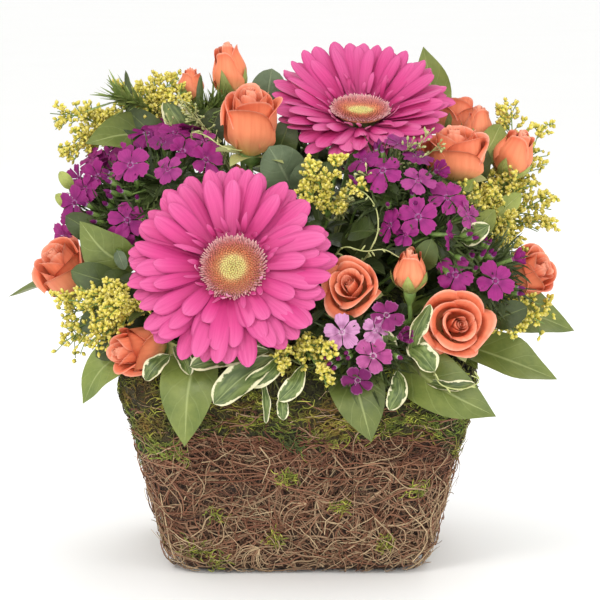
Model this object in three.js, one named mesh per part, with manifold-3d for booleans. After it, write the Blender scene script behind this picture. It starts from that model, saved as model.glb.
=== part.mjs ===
// A flower arrangement in a square twig basket, in millimetres.
// +Z is up, -Y is the front, and the origin is the middle of the basket's underside.
// The basket holds a plastic liner and a block of floral foam, and a collar of moss covers its rim.
// Every stem and leaf stalk stands in its own hole in the foam: two gerberas, sprays of small roses,
// heads of sweet william, plumes of goldenrod, salal leaves, pittosporum sprigs and a fir tip.
import * as THREE from "three";
import { mergeVertices } from "three/addons/utils/BufferGeometryUtils.js";
import Module from "manifold-3d";

const wasm = await Module();
wasm.setup();

// Driving dimensions.
const GAP = 0.35; // clearance between two pieces that touch
const BASKET = { height: 98, bottomHalf: 61, topHalf: 84, wall: 7, base: 7, corner: 20, foot: 9 };
const LINER_WALL = 1.5;
const FOAM = { rimHalf: 58, topHalf: 48, top: 133 };
const MOSS = { low: 68, top: 108, thick: 3 };
const ROSE_STEM = 1.9; // radius
const BRANCH = 1.3; // radius of a side branch
const PEDICEL = 0.9; // radius of the stalk of one small floret
const FLORET = { radius: 7.5, petals: 5, thick: 1.4 };
const LEAF_THICK = 1.1;

const PETALS = { pink: "#d8418f", orange: "#e8703f", purple: "#a02a8c", yellow: "#d9c24a" };
const GREENS = { stem: "#6f8a45", salal: "#7d9659", pittosporum: "#aebb7c", fir: "#5d7a48" };

// ---------------------------------------------------------------- helpers

const vec = (p) => new THREE.Vector3(...p);
const finish = (color, roughness = 0.7, metalness = 0) =>
  new THREE.MeshStandardMaterial({ color, roughness, metalness });

// A three.js geometry as a manifold-3d solid.
function solid(geometry) {
  const bare = geometry.clone();
  bare.deleteAttribute("normal");
  bare.deleteAttribute("uv");
  const merged = mergeVertices(bare, 1e-4);
  return new wasm.Manifold(
    new wasm.Mesh({
      numProp: 3,
      vertProperties: merged.attributes.position.array,
      triVerts: new Uint32Array(merged.index.array),
    }),
  );
}

// A manifold-3d solid as a three.js geometry.
function geometryOf(made) {
  const { vertProperties, triVerts } = made.getMesh();
  return new THREE.BufferGeometry()
    .setAttribute("position", new THREE.BufferAttribute(vertProperties, 3))
    .setIndex(new THREE.BufferAttribute(triVerts, 1));
}

const join = (geometries) => geometryOf(geometries.map(solid).reduce((a, b) => a.add(b)));

// A closed skin over rings of equal count: each ring joins the next, and the ends are fans, or the last ring
// joins the first when loop is true. Rings run anticlockwise seen from the end they lead to.
function skin(rings, loop = false) {
  const count = rings[0].length;
  const points = rings.flat();
  const faces = [];
  const bands = loop ? rings.length : rings.length - 1;
  for (let i = 0; i < bands; i++) {
    const low = i * count;
    const high = ((i + 1) % rings.length) * count;
    for (let k = 0; k < count; k++) {
      const next = (k + 1) % count;
      faces.push(low + k, low + next, high + next, low + k, high + next, high + k);
    }
  }
  if (!loop) {
    const last = (rings.length - 1) * count;
    const middle = (ring) => ring.reduce((a, b) => a.clone().add(b)).divideScalar(count);
    points.push(middle(rings[0]), middle(rings.at(-1)));
    for (let k = 0; k < count; k++) {
      const next = (k + 1) % count;
      faces.push(points.length - 2, next, k, points.length - 1, last + k, last + next);
    }
  }
  return new THREE.BufferGeometry().setFromPoints(points).setIndex(faces);
}

// One ring of a rounded square, level at height z.
function squareRing(half, corner, z, perCorner = 4) {
  const ring = [];
  for (let k = 0; k < 4 * perCorner; k++) {
    const quarter = Math.floor(k / perCorner);
    const share = (k % perCorner) / (perCorner - 1);
    const angle = ((quarter + share) * Math.PI) / 2;
    const turn = ((quarter + 0.5) * Math.PI) / 2;
    const reach = (half - corner) * Math.SQRT2;
    ring.push(
      new THREE.Vector3(
        reach * Math.cos(turn) + corner * Math.cos(angle),
        reach * Math.sin(turn) + corner * Math.sin(angle),
        z,
      ),
    );
  }
  return ring;
}

const squareSkin = (profile, loop) => skin(profile.map((p) => squareRing(...p)), loop);

const curveThrough = (points) => new THREE.CatmullRomCurve3(points.map(vec));

// A round stalk of one radius along a curve.
function tube(curve, radius, sides = 5, step = 22) {
  const section = new THREE.Shape(
    Array.from({ length: sides }, (_, k) => {
      const angle = (2 * Math.PI * k) / sides;
      return new THREE.Vector2(radius * Math.cos(angle), radius * Math.sin(angle));
    }),
  );
  const steps = Math.max(2, Math.round(curve.getLength() / step));
  return new THREE.ExtrudeGeometry(section, { steps, extrudePath: curve, bevelEnabled: false });
}

// A lathe turned about its own +Y, then stood at a point with +Y along axis.
function turned(profile, segments, at, axis) {
  const points = profile.map(([x, y]) => new THREE.Vector2(x, y));
  return stood(new THREE.LatheGeometry(points, segments), at, axis);
}

function stood(geometry, at, axis) {
  const turn = new THREE.Quaternion().setFromUnitVectors(new THREE.Vector3(0, 1, 0), axis);
  return geometry.applyQuaternion(turn).translate(at.x, at.y, at.z);
}

const along = (at, axis, distance) => at.clone().addScaledVector(axis, distance);

// ---------------------------------------------------------------- the arrangement

const arrangement = new THREE.Group();
const sockets = []; // what the foam makes room for

function add(name, geometry, material) {
  const mesh = new THREE.Mesh(geometry, material);
  mesh.name = name;
  arrangement.add(mesh);
}

// A stalk pushed into the foam, which gets a hole for it that is GAP larger all round.
function rooted(points, radius) {
  const curve = curveThrough(points);
  const [root, next] = points.slice(0, 2).map(vec);
  const back = root.clone().sub(next).setLength(GAP).add(root);
  sockets.push(tube(curveThrough([back.toArray(), ...points.slice(1)]), radius + 2 * GAP));
  return tube(curve, radius);
}

// Basket: a rounded square cup of woven twigs that narrows towards its foot.
function basket() {
  const { height, bottomHalf, topHalf, wall, base, corner, foot } = BASKET;
  return squareSkin([
    [bottomHalf - foot, corner - 6, 0],
    [bottomHalf - 2, corner - 2, 3],
    [bottomHalf + 1, corner, foot],
    [topHalf, corner + 2, height],
    [topHalf - wall, corner - 3, height],
    [bottomHalf + 1 - wall, corner - 6, base + 2],
    [bottomHalf - foot, corner - 8, base],
  ]);
}

const wallHalf = (z) => {
  const { height, bottomHalf, topHalf, foot } = BASKET;
  return bottomHalf + 1 + ((topHalf - bottomHalf - 1) * (z - foot)) / (height - foot);
};

function liner() {
  const inner = (z) => wallHalf(z) - BASKET.wall - GAP;
  const top = BASKET.height - 4;
  const low = BASKET.base + GAP;
  return squareSkin([
    [inner(low) - 6, 12, low],
    [inner(low) - 1.5, 14, low + 4],
    [inner(top), 16, top],
    [inner(top) - LINER_WALL, 15, top],
    [inner(low) - 1.5 - LINER_WALL, 13, low + 4.5],
    [inner(low) - 6, 11, low + LINER_WALL],
  ]);
}

// Foam: a wet block cut to the liner, bevelled where it stands above the rim.
function foamBlock() {
  const inner = (z) => wallHalf(z) - BASKET.wall - LINER_WALL - 2 * GAP - 3;
  const low = BASKET.base + LINER_WALL + 2 * GAP;
  return squareSkin([
    [inner(low) - 6, 10, low],
    [inner(low + 5), 12, low + 5],
    [inner(BASKET.height - 4), 14, BASKET.height - 4],
    [FOAM.rimHalf + 3, 15, BASKET.height],
    [FOAM.rimHalf, 16, BASKET.height + 14],
    [FOAM.topHalf, 16, FOAM.top],
  ]);
}

// Moss: a collar that hangs over the basket's rim and closes the gap to the foam.
function mossCollar() {
  const { low, top, thick } = MOSS;
  const over = BASKET.height + GAP;
  const outside = (z) => wallHalf(z) + GAP;
  const section = [
    [outside(low) + 0.4, 21.5, low],
    [outside(low + 5) + thick, 24, low + 5],
    [outside(over - 6) + thick, 26, over - 8],
    [outside(over) + thick - 1.5, 26, over + 1],
    [BASKET.topHalf - 8, 22, top],
    [FOAM.rimHalf + 4 + GAP, 18, top - 2],
    [FOAM.rimHalf + 6 + GAP, 18, over],
    [outside(over) + 0.4, 22.5, over],
  ];
  return squareSkin(section, true);
}

// Gerbera: a stalk that ends in a green cup, a dish of ray petals, and the domed disc in its middle.
function gerbera(name, { centre, axis, radius, cup, droop, stalk }) {
  const at = vec(centre);
  const out = vec(axis).normalize();
  const discRadius = radius * 0.33;
  const back = along(at, out, -9);
  const calyx = [
    [0, -3],
    [4, -2.5],
    [10, 3],
    [12, 6],
    [0, 6],
  ];
  const stem = rooted([...stalk, along(back, out, 1).toArray()], 3.1);
  add(`${name}_stem`, join([stem, turned(calyx, 10, back, out)]), finish(GREENS.stem));
  add(`${name}_rays`, stood(rays(radius, discRadius, cup, droop), at, out), finish(PETALS.pink, 0.6));
  const dome = [
    [0, 0],
    [discRadius * 0.9, 0],
    [discRadius, 2],
    [discRadius * 0.85, 5],
    [discRadius * 0.5, 5.5],
    [0, 4.5],
  ];
  add(`${name}_disc`, turned(dome, 16, along(at, out, 1 + GAP), out), finish("#dd9a6c", 0.8));
}

// The dish of ray petals about +Y: tips and notches alternate round its edge.
function rays(radius, discRadius, cup, droop, petals = 18) {
  const ring = (reach, height, notch = 1) =>
    Array.from({ length: 2 * petals }, (_, k) => {
      const angle = (-Math.PI * k) / petals;
      const r = reach * (k % 2 ? notch : 1);
      return new THREE.Vector3(r * Math.cos(angle), height(r), r * Math.sin(angle));
    });
  const level = (lift) => (r) => {
    const share = Math.max(0, r - discRadius) / (radius - discRadius);
    return lift + radius * (cup * share - droop * share * share);
  };
  return skin([
    ring(discRadius * 1.05, () => -2.6),
    ring(radius * 0.66, level(-1.6)),
    ring(radius, level(-0.4), 0.9),
    ring(radius * 0.99, level(0.6), 0.9),
    ring(radius * 0.66, level(1)),
    ring(discRadius * 1.05, () => 1),
  ]);
}

// Rose spray: one stalk from the foam to a fork, a branch to each bloom, and a green cup under each.
function roseSpray(name, { stalk, blooms }) {
  const fork = stalk.at(-1);
  const parts = [rooted(stalk, ROSE_STEM)];
  for (const { bloom, base, axis, radius, height } of blooms) {
    const foot = vec(base);
    const out = vec(axis).normalize();
    const seat = radius * 0.34;
    const below = along(foot, out, -7);
    const bend = along(foot, out, -16);
    parts.push(
      tube(curveThrough([fork, bend.toArray(), below.toArray()]), BRANCH),
      turned([[0, -1.5], [1.2, -1], [seat, 3.5], [seat * 0.9, 7 - GAP], [0, 7 - GAP]], 8, below, out),
    );
    add(`rose_${bloom}`, turned(roseProfile(radius, height), 9, foot, out), finish(PETALS.orange, 0.6));
  }
  add(`rose_stems_${name}`, join(parts), finish(GREENS.stem));
}

// A bud is slim with a small mouth; an open rose flares round a raised heart.
function roseProfile(radius, height) {
  const open = THREE.MathUtils.clamp((2 * radius) / height - 0.6, 0, 0.85);
  return [
    [0, 0],
    [radius * 0.42, height * 0.05],
    [radius * 0.84, height * 0.3],
    [radius * (0.98 - 0.12 * (1 - open)), height * 0.62],
    [radius * (1 - 0.28 * (1 - open)), height * 0.9],
    [radius * (0.5 + 0.2 * open), height * (1 - 0.1 * open)],
    [radius * 0.3, height * (1 - 0.12 * open)],
    [0, height],
  ];
}

// Sweet william: a stalk whose stalklets fan out to small five-petalled florets on a shallow dome.
function dianthus(name, { stalk, centre, axis, spread, count, turn, color }) {
  const at = vec(centre);
  const out = vec(axis).normalize();
  const fork = along(at, out, -17);
  const parts = [rooted([...stalk, fork.toArray()], 1.7)];
  const side = new THREE.Vector3(0, 0, 1).cross(out).normalize();
  const up = out.clone().cross(side);
  for (let k = 0; k < count; k++) {
    const angle = turn + k * 2.39996; // the golden angle
    const reach = spread * Math.sqrt((k + 0.35) / count);
    const place = along(at, out, -0.011 * reach * reach)
      .addScaledVector(side, reach * Math.cos(angle))
      .addScaledVector(up, reach * Math.sin(angle));
    const face = place.clone().sub(along(at, out, -34)).normalize();
    const stalklet = new THREE.LineCurve3(fork, along(place, face, 0.4));
    parts.push(tube(stalklet, PEDICEL, 3, 400), floret(place, face));
  }
  add(`dianthus_${name}`, join(parts), finish(color ?? PETALS.purple, 0.6));
}

function floret(at, axis) {
  const { radius, petals, thick } = FLORET;
  const dish = [
    [0, 0],
    [radius, thick * 0.6],
    [radius, thick * 1.4],
    [0, thick],
  ];
  return turned(dish, petals, at, axis);
}

// A stalk with slim spindles that run from its end to each tip.
function plumed(stalk, tips, girth) {
  const parts = [rooted(stalk, 1.5)];
  const top = vec(stalk.at(-1));
  for (const tip of tips) {
    const way = vec(tip).sub(top);
    const length = way.length();
    const spindle = [
      [0, -1],
      [1.6, length * 0.2],
      [girth, length * 0.6],
      [girth * 0.7, length * 0.88],
      [0, length],
    ];
    parts.push(turned(spindle, 5, top, way.normalize()));
  }
  return join(parts);
}

// Goldenrod: plumes of tiny yellow flowers.
const goldenrod = (name, { stalk, plumes }) =>
  add(`goldenrod_${name}`, plumed(stalk, plumes, 4.2), finish(PETALS.yellow, 0.8));

// Fir: a twig with short needled shoots.
const fir = (name, { stalk, shoots }) =>
  add(`fir_${name}`, plumed(stalk, shoots, 4), finish(GREENS.fir, 0.8));

// One leaf blade along a curve: rings of six points that narrow to both ends.
function blade(curve, width, facing, rows = 5, thick = LEAF_THICK) {
  const rings = [];
  for (let i = 0; i <= rows; i++) {
    const share = i / rows;
    const middle = curve.getPoint(share);
    const ahead = curve.getTangent(share);
    const side = facing.clone().cross(ahead).normalize();
    const up = ahead.clone().cross(side).normalize();
    const half = Math.max(0.9, (width / 2) * Math.sin(Math.PI * Math.pow(share, 0.8)) ** 0.8);
    const fold = half * 0.16;
    const point = (x, y) => along(middle, side, x).addScaledVector(up, y);
    rings.push([
      point(-half, fold - thick * 0.25),
      point(0, -thick / 2),
      point(half, fold - thick * 0.25),
      point(half, fold + thick * 0.25),
      point(0, thick / 2),
      point(-half, fold + thick * 0.25),
    ]);
  }
  return skin(rings);
}

// Salal: broad pointed leaves on a stalk that stands in the foam. A leaf starts at its line's first point.
function salal(name, { stalk, leaves }) {
  const blades = leaves.map(({ line, width, facing }) =>
    blade(curveThrough(line), width, vec(facing).normalize()),
  );
  add(`salal_${name}`, join([rooted(stalk, 1.1), ...blades]), finish(GREENS.salal, 0.45));
}

// Pittosporum: a twig with small rounded leaves round its end.
function pittosporum(name, { stalk, tips, width = 9 }) {
  const end = vec(stalk.at(-1));
  const before = vec(stalk.at(-2));
  const outward = end.clone().sub(before).normalize();
  const leaves = tips.map((tip) => {
    const reach = vec(tip).sub(end);
    const bulge = along(end, reach, 0.5).addScaledVector(outward, 1.5);
    const line = new THREE.CatmullRomCurve3([along(end, reach, -0.05), bulge, vec(tip)]);
    return blade(line, width, outward, 3, 1);
  });
  add(`pittosporum_${name}`, join([rooted(stalk, 1.2), ...leaves]), finish(GREENS.pittosporum, 0.45));
}

// ---------------------------------------------------------------- the flowers, front and top first

gerbera("gerbera_front", {
  centre: [-30, -96, 155], axis: [-0.08, -0.9, 0.42], radius: 50, cup: 0.14, droop: 0.16,
  stalk: [[-12, -24, 109], [-20, -56, 139]],
});
gerbera("gerbera_top", {
  centre: [30, -21, 220], axis: [0.03, -0.56, 0.83], radius: 45.5, cup: 0.31, droop: 0.1,
  stalk: [[8, -4, 109], [22, -6, 175]],
});

roseSpray("upper_left", {
  stalk: [[-10, 6, 111], [-20, 2, 155], [-26, -4, 177]],
  blooms: [
    { bloom: "upper_left_open", base: [-26, -37, 202], axis: [0, -0.3, 0.95], radius: 15.5, height: 33 },
    { bloom: "upper_left_bud", base: [-32, 2, 226], axis: [-0.16, -0.04, 1], radius: 9, height: 27 },
    { bloom: "upper_left_small", base: [-54, 8, 224], axis: [0.05, -0.1, 1], radius: 7, height: 16 },
  ],
});
roseSpray("left", {
  stalk: [[-28, -12, 115], [-58, -42, 129]],
  blooms: [
    { bloom: "left_side", base: [-106, -36, 137], axis: [-0.5, -0.45, 0.72], radius: 13.5, height: 25 },
    { bloom: "left_low", base: [-64, -76, 114], axis: [-0.8, -0.6, -0.03], radius: 11, height: 27 },
  ],
});
roseSpray("centre", {
  stalk: [[14, -26, 111], [34, -54, 127]],
  blooms: [
    { bloom: "centre_open", base: [28, -78, 140], axis: [-0.15, -0.93, 0.33], radius: 13.5, height: 21 },
    { bloom: "centre_bud", base: [52, -86, 142], axis: [0, -0.25, 0.97], radius: 8.5, height: 20 },
    { bloom: "right_open", base: [69, -77, 122], axis: [0.1, -0.95, 0.28], radius: 17, height: 23 },
  ],
});
roseSpray("right", {
  stalk: [[30, -6, 115], [62, -14, 129]],
  blooms: [
    { bloom: "right_side", base: [103, -36, 139], axis: [0.72, -0.5, 0.45], radius: 11.5, height: 22 },
  ],
});
roseSpray("upper_right", {
  stalk: [[20, 2, 111], [58, -4, 155], [70, -8, 171]],
  blooms: [
    { bloom: "upper_right_open", base: [77, -42, 191], axis: [0.12, -0.5, 0.85], radius: 15.5, height: 25 },
    { bloom: "upper_right_tall", base: [101, -22, 189], axis: [0.35, -0.15, 0.92], radius: 10, height: 24 },
    { bloom: "upper_right_bud", base: [91, -8, 206], axis: [0.05, 0, 1], radius: 7.5, height: 20 },
    { bloom: "upper_right_back", base: [77, 14, 207], axis: [0.1, 0.15, 0.98], radius: 9.5, height: 20 },
  ],
});
roseSpray("rear", {
  stalk: [[0, 20, 111], [2, 42, 141]],
  blooms: [
    { bloom: "rear_right", base: [28, 82, 126], axis: [0.2, 0.92, 0.34], radius: 15, height: 21 },
    { bloom: "rear_left", base: [-36, 74, 165], axis: [-0.2, 0.78, 0.6], radius: 13, height: 22 },
  ],
});

dianthus("upper_left", {
  stalk: [[-22, -8, 111], [-42, -18, 155]],
  centre: [-68, -47, 201], axis: [-0.2, -0.52, 0.83], spread: 25, count: 8, turn: 3.3,
});
dianthus("left", {
  stalk: [[-32, -2, 117], [-58, -18, 143]],
  centre: [-96, -47, 179], axis: [-0.6, -0.66, 0.45], spread: 20, count: 6, turn: 0.6,
});
dianthus("upper_right", {
  stalk: [[16, -14, 111], [36, -34, 155]],
  centre: [46, -74, 198], axis: [0, -0.66, 0.75], spread: 19, count: 6, turn: 1.2,
});
dianthus("right", {
  stalk: [[24, -22, 113], [44, -44, 137]],
  centre: [64, -88, 171], axis: [0.12, -0.93, 0.35], spread: 20, count: 6, turn: 2.35,
});
dianthus("right_low", {
  stalk: [[30, -22, 115], [58, -42, 129]],
  centre: [91, -80, 150], axis: [0.42, -0.85, 0.32], spread: 17, count: 4, turn: 1.9,
});
dianthus("front", {
  stalk: [[6, -34, 117], [22, -66, 121]],
  centre: [31, -104, 117], axis: [0.02, -0.99, 0.1], spread: 17, count: 5, turn: 1.35, color: "#d768b8",
});
dianthus("rear", {
  stalk: [[14, 24, 113], [14, 44, 155]],
  centre: [4, 70, 195], axis: [0.02, 0.7, 0.71], spread: 24, count: 7, turn: 0.4,
});

goldenrod("upper_left", {
  stalk: [[-22, 4, 113], [-60, 6, 165], [-84, 6, 201]],
  plumes: [[-122, -10, 219], [-116, -14, 201], [-104, 0, 221], [-70, 4, 236], [-78, 12, 231]],
});
goldenrod("left", {
  stalk: [[-26, -30, 123], [-56, -56, 133], [-73, -74, 130]],
  plumes: [[-114, -50, 111], [-110, -56, 127], [-88, -84, 145], [-98, -80, 125], [-70, -90, 137]],
});
goldenrod("top", {
  stalk: [[2, -14, 111], [8, -40, 155], [14, -62, 173]],
  plumes: [[4, -74, 201], [18, -74, 203], [30, -76, 191], [0, -74, 189]],
});
goldenrod("right", {
  stalk: [[32, 4, 113], [74, -4, 145], [94, -10, 158]],
  plumes: [[124, -30, 181], [124, -26, 167], [106, -40, 193], [112, -10, 187], [104, 0, 217], [120, -4, 213]],
});
goldenrod("right_low", {
  stalk: [[34, -14, 119], [66, -34, 127], [84, -46, 130]],
  plumes: [[121, -42, 128], [118, -54, 121], [103, -76, 119]],
});
goldenrod("front", {
  stalk: [[-2, -34, 119], [-1, -70, 121], [0, -84, 117]],
  plumes: [[-10, -108, 109], [13, -106, 103], [14, -108, 117]],
});
goldenrod("rear", {
  stalk: [[-12, 26, 113], [-18, 50, 135], [-22, 60, 141]],
  plumes: [[-50, 94, 127], [-32, 99, 120], [-10, 98, 119]],
});

// Broad leaves: the last point of a line is the leaf's tip.
salal("front_left", {
  stalk: [[-26, -36, 117], [-41, -64, 119], [-46, -81, 116]],
  leaves: [{ line: [[-46, -81, 116], [-51, -97, 98], [-53, -99, 70]], width: 27, facing: [-0.1, -1, 0.2] }],
});
salal("front_right", {
  stalk: [[14, -38, 115], [20, -64, 112], [22, -79, 110]],
  leaves: [{ line: [[22, -79, 110], [28, -96, 94], [34, -98, 72]], width: 25, facing: [0.1, -1, 0.2] }],
});
salal("right_front", {
  stalk: [[26, -36, 115], [40, -64, 115], [46, -79, 111]],
  leaves: [{ line: [[46, -79, 111], [66, -96, 97], [92, -98, 84]], width: 27, facing: [0.1, -1, 0.5] }],
});
salal("right_low", {
  stalk: [[37, -36, 119], [60, -50, 117], [75, -57, 113]],
  leaves: [{ line: [[75, -57, 113], [100, -64, 105], [124, -60, 95]], width: 25, facing: [0.2, -0.7, 0.8] }],
});
salal("right", {
  stalk: [[38, -4, 115], [66, -18, 122], [84, -28, 123]],
  leaves: [
    { line: [[84, -28, 123], [112, -35, 123], [135, -30, 114]], width: 27, facing: [0.2, -0.7, 0.7] },
    { line: [[66, -18, 122], [88, 0, 116], [99, 12, 92]], width: 25, facing: [0.9, 0.1, 0.4] },
    { line: [[84, -28, 123], [104, 4, 130], [118, 32, 122]], width: 23, facing: [0.5, 0.1, 0.8] },
    { line: [[84, -28, 123], [96, 12, 150], [101, 34, 178]], width: 25, facing: [0.9, 0.2, -0.3] },
    { line: [[66, -18, 122], [80, 22, 126], [84, 52, 116]], width: 23, facing: [0.6, 0.2, 0.7] },
  ],
});
salal("left_low", {
  stalk: [[-36, -32, 117], [-58, -54, 118], [-75, -66, 114]],
  leaves: [{ line: [[-75, -66, 114], [-94, -70, 101], [-103, -65, 84]], width: 19, facing: [-0.5, -0.8, 0.4] }],
});
salal("left", {
  stalk: [[-34, -12, 117], [-64, -22, 127], [-90, -22, 135]],
  leaves: [
    { line: [[-90, -22, 135], [-118, -18, 137], [-144, -10, 128]], width: 20, facing: [0, -0.3, 1] },
    { line: [[-64, -22, 127], [-88, 2, 116], [-99, 14, 92]], width: 25, facing: [-0.9, 0.1, 0.4] },
    { line: [[-90, -22, 135], [-104, 10, 138], [-117, 36, 128]], width: 23, facing: [-0.5, 0.1, 0.8] },
    { line: [[-90, -22, 135], [-97, 10, 158], [-101, 32, 184]], width: 25, facing: [-0.9, 0.2, -0.3] },
    { line: [[-64, -22, 127], [-78, 20, 127], [-84, 52, 116]], width: 23, facing: [-0.6, 0.2, 0.7] },
  ],
});
salal("left_centre", {
  stalk: [[-20, -18, 119], [-54, -40, 135], [-76, -58, 147]],
  leaves: [{ line: [[-76, -58, 147], [-92, -62, 157], [-104, -58, 171]], width: 22, facing: [-0.4, -0.9, 0.1] }],
});
salal("upper_left", {
  stalk: [[-16, 10, 113], [-44, 6, 172], [-60, 0, 203]],
  leaves: [
    { line: [[-60, 0, 203], [-83, -16, 209], [-103, -33, 206]], width: 19, facing: [-0.1, -0.5, 0.85] },
    { line: [[-30, 8, 142], [-46, 32, 164], [-42, 50, 192]], width: 22, facing: [0.1, 0.9, 0.4] },
  ],
});
salal("top", {
  stalk: [[12, 14, 113], [50, 26, 175], [62, 32, 205]],
  leaves: [
    { line: [[62, 32, 205], [67, 33, 227], [63, 31, 250]], width: 21, facing: [0.2, -1, 0.1] },
    { line: [[50, 26, 175], [38, 42, 196], [20, 46, 216]], width: 24, facing: [-0.2, 1, 0.4] },
    { line: [[31, 20, 144], [40, 44, 164], [50, 56, 188]], width: 22, facing: [-0.1, 0.9, 0.4] },
  ],
});
salal("rear_right", {
  stalk: [[24, 30, 115], [46, 58, 135], [56, 70, 150]],
  leaves: [
    { line: [[46, 58, 135], [58, 86, 120], [57, 99, 97], [54, 99, 74]], width: 28, facing: [0.1, 1, 0.2] },
    { line: [[56, 70, 150], [82, 70, 148], [106, 58, 136]], width: 26, facing: [0.3, 0.8, 0.5] },
    { line: [[56, 70, 150], [70, 66, 176], [80, 48, 200]], width: 26, facing: [0.3, 0.9, 0.2] },
    { line: [[56, 70, 150], [36, 86, 160], [12, 92, 154]], width: 24, facing: [0.1, 0.8, 0.6] },
  ],
});
salal("rear_left", {
  stalk: [[-24, 30, 115], [-46, 56, 133], [-58, 66, 150]],
  leaves: [
    { line: [[-46, 56, 133], [-56, 86, 120], [-59, 99, 98], [-62, 98, 75]], width: 28, facing: [-0.1, 1, 0.2] },
    { line: [[-58, 66, 150], [-83, 68, 148], [-107, 56, 134]], width: 26, facing: [-0.3, 0.8, 0.5] },
    { line: [[-58, 66, 150], [-70, 60, 176], [-78, 42, 200]], width: 26, facing: [-0.3, 0.9, 0.2] },
    { line: [[-58, 66, 150], [-34, 78, 146], [-10, 90, 141]], width: 24, facing: [-0.1, 0.7, 0.7] },
  ],
});

pittosporum("front", {
  stalk: [[-8, -40, 119], [-16, -72, 118], [-19, -86, 113]],
  tips: [[-41, -108, 102], [-32, -108, 86], [-12, -106, 83], [-2, -104, 95]],
});
pittosporum("right", {
  stalk: [[32, -36, 119], [42, -60, 119], [46, -76, 118]],
  tips: [[48, -100, 124], [53, -104, 106], [44, -104, 94]],
});
fir("upper_left", {
  stalk: [[-6, 14, 113], [-34, 22, 185], [-46, 22, 205]],
  shoots: [[-92, -22, 229], [-62, 24, 232], [-44, -8, 222]],
});

// ---------------------------------------------------------------- the basket and what it holds

add("vine_basket", basket(), finish("#7a5a48", 0.9));
add("basket_liner", liner(), finish("#2e3a2c", 0.5));
add("floral_foam", geometryOf(sockets.map(solid).reduce((a, b) => a.subtract(b), solid(foamBlock()))),
  finish("#3f6b45", 0.95));
add("moss_collar", mossCollar(), finish("#6c7a35", 1));

export default arrangement;
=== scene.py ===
import math
from collections import namedtuple

import bpy
import numpy as np
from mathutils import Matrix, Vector


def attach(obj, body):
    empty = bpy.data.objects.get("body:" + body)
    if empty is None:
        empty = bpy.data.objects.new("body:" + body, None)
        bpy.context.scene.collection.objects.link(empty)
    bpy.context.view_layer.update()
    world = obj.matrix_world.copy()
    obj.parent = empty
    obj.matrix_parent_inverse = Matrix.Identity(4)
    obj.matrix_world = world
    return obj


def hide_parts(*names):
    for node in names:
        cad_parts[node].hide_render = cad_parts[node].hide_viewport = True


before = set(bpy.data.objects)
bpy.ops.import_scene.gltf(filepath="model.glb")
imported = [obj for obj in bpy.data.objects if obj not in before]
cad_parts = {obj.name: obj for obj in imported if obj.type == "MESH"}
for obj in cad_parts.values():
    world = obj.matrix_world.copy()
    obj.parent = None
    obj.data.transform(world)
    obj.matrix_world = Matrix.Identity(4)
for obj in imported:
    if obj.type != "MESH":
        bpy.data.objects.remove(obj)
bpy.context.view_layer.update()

# A flower arrangement in a square vine basket. Lengths are in millimetres until a mesh is made.
# +Z is up and -Y is the front, as in the CAD model.

MM = 0.001
GOLDEN_ANGLE = 2.39996
UP = np.array([0.0, 0.0, 1.0])

# ---------------------------------------------------------------- layout
# Stalks, flowers and leaves stand at the CAD model's own places. Points are [x, y, z].

Bloom = namedtuple("Bloom", "name base axis radius height")
Leaf = namedtuple("Leaf", "line width facing breadth", defaults=[1.06])

# The petals of the front gerbera lie a little beside its stalk's end, and the disc of the upper one looks
# more upwards than its petals. petal_widths are shares of the radius, for each row from the lowest up.
# button is how far the disc's pale middle lies off its centre.
Gerbera = namedtuple("Gerbera", [
    "stalk", "centre", "axis", "radius", "cup", "droop", "petal_shift", "petal_widths", "petal_tip",
    "disc_shift", "disc_axis", "disc_share", "disc_height", "button",
])
GERBERAS = {
    "gerbera_front": Gerbera(
        stalk=[[-12, -24, 109], [-20, -56, 139]], centre=[-30, -96, 155], axis=[-0.08, -0.9, 0.42],
        radius=50, cup=0.14, droop=0.16,
        petal_shift=[-2.4, 0, -0.6], petal_widths=(0.205, 0.195, 0.185, 0.165), petal_tip=2.2,
        disc_shift=[0.4, -0.2, -2.4], disc_axis=[-0.08, -0.9, 0.42], disc_share=0.287, disc_height=1.0,
        button=0.04,
    ),
    "gerbera_top": Gerbera(
        stalk=[[8, -4, 109], [22, -6, 175]], centre=[30, -21, 220], axis=[0.03, -0.56, 0.83],
        radius=45.5, cup=0.31, droop=0.1,
        petal_shift=[0, 0, 0], petal_widths=(0.2, 0.19, 0.175, 0.155), petal_tip=2.0,
        disc_shift=[0, 0, 0], disc_axis=[0.03, -0.36, 0.93], disc_share=0.3, disc_height=0.55,
        button=-0.4,
    ),
}
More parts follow.
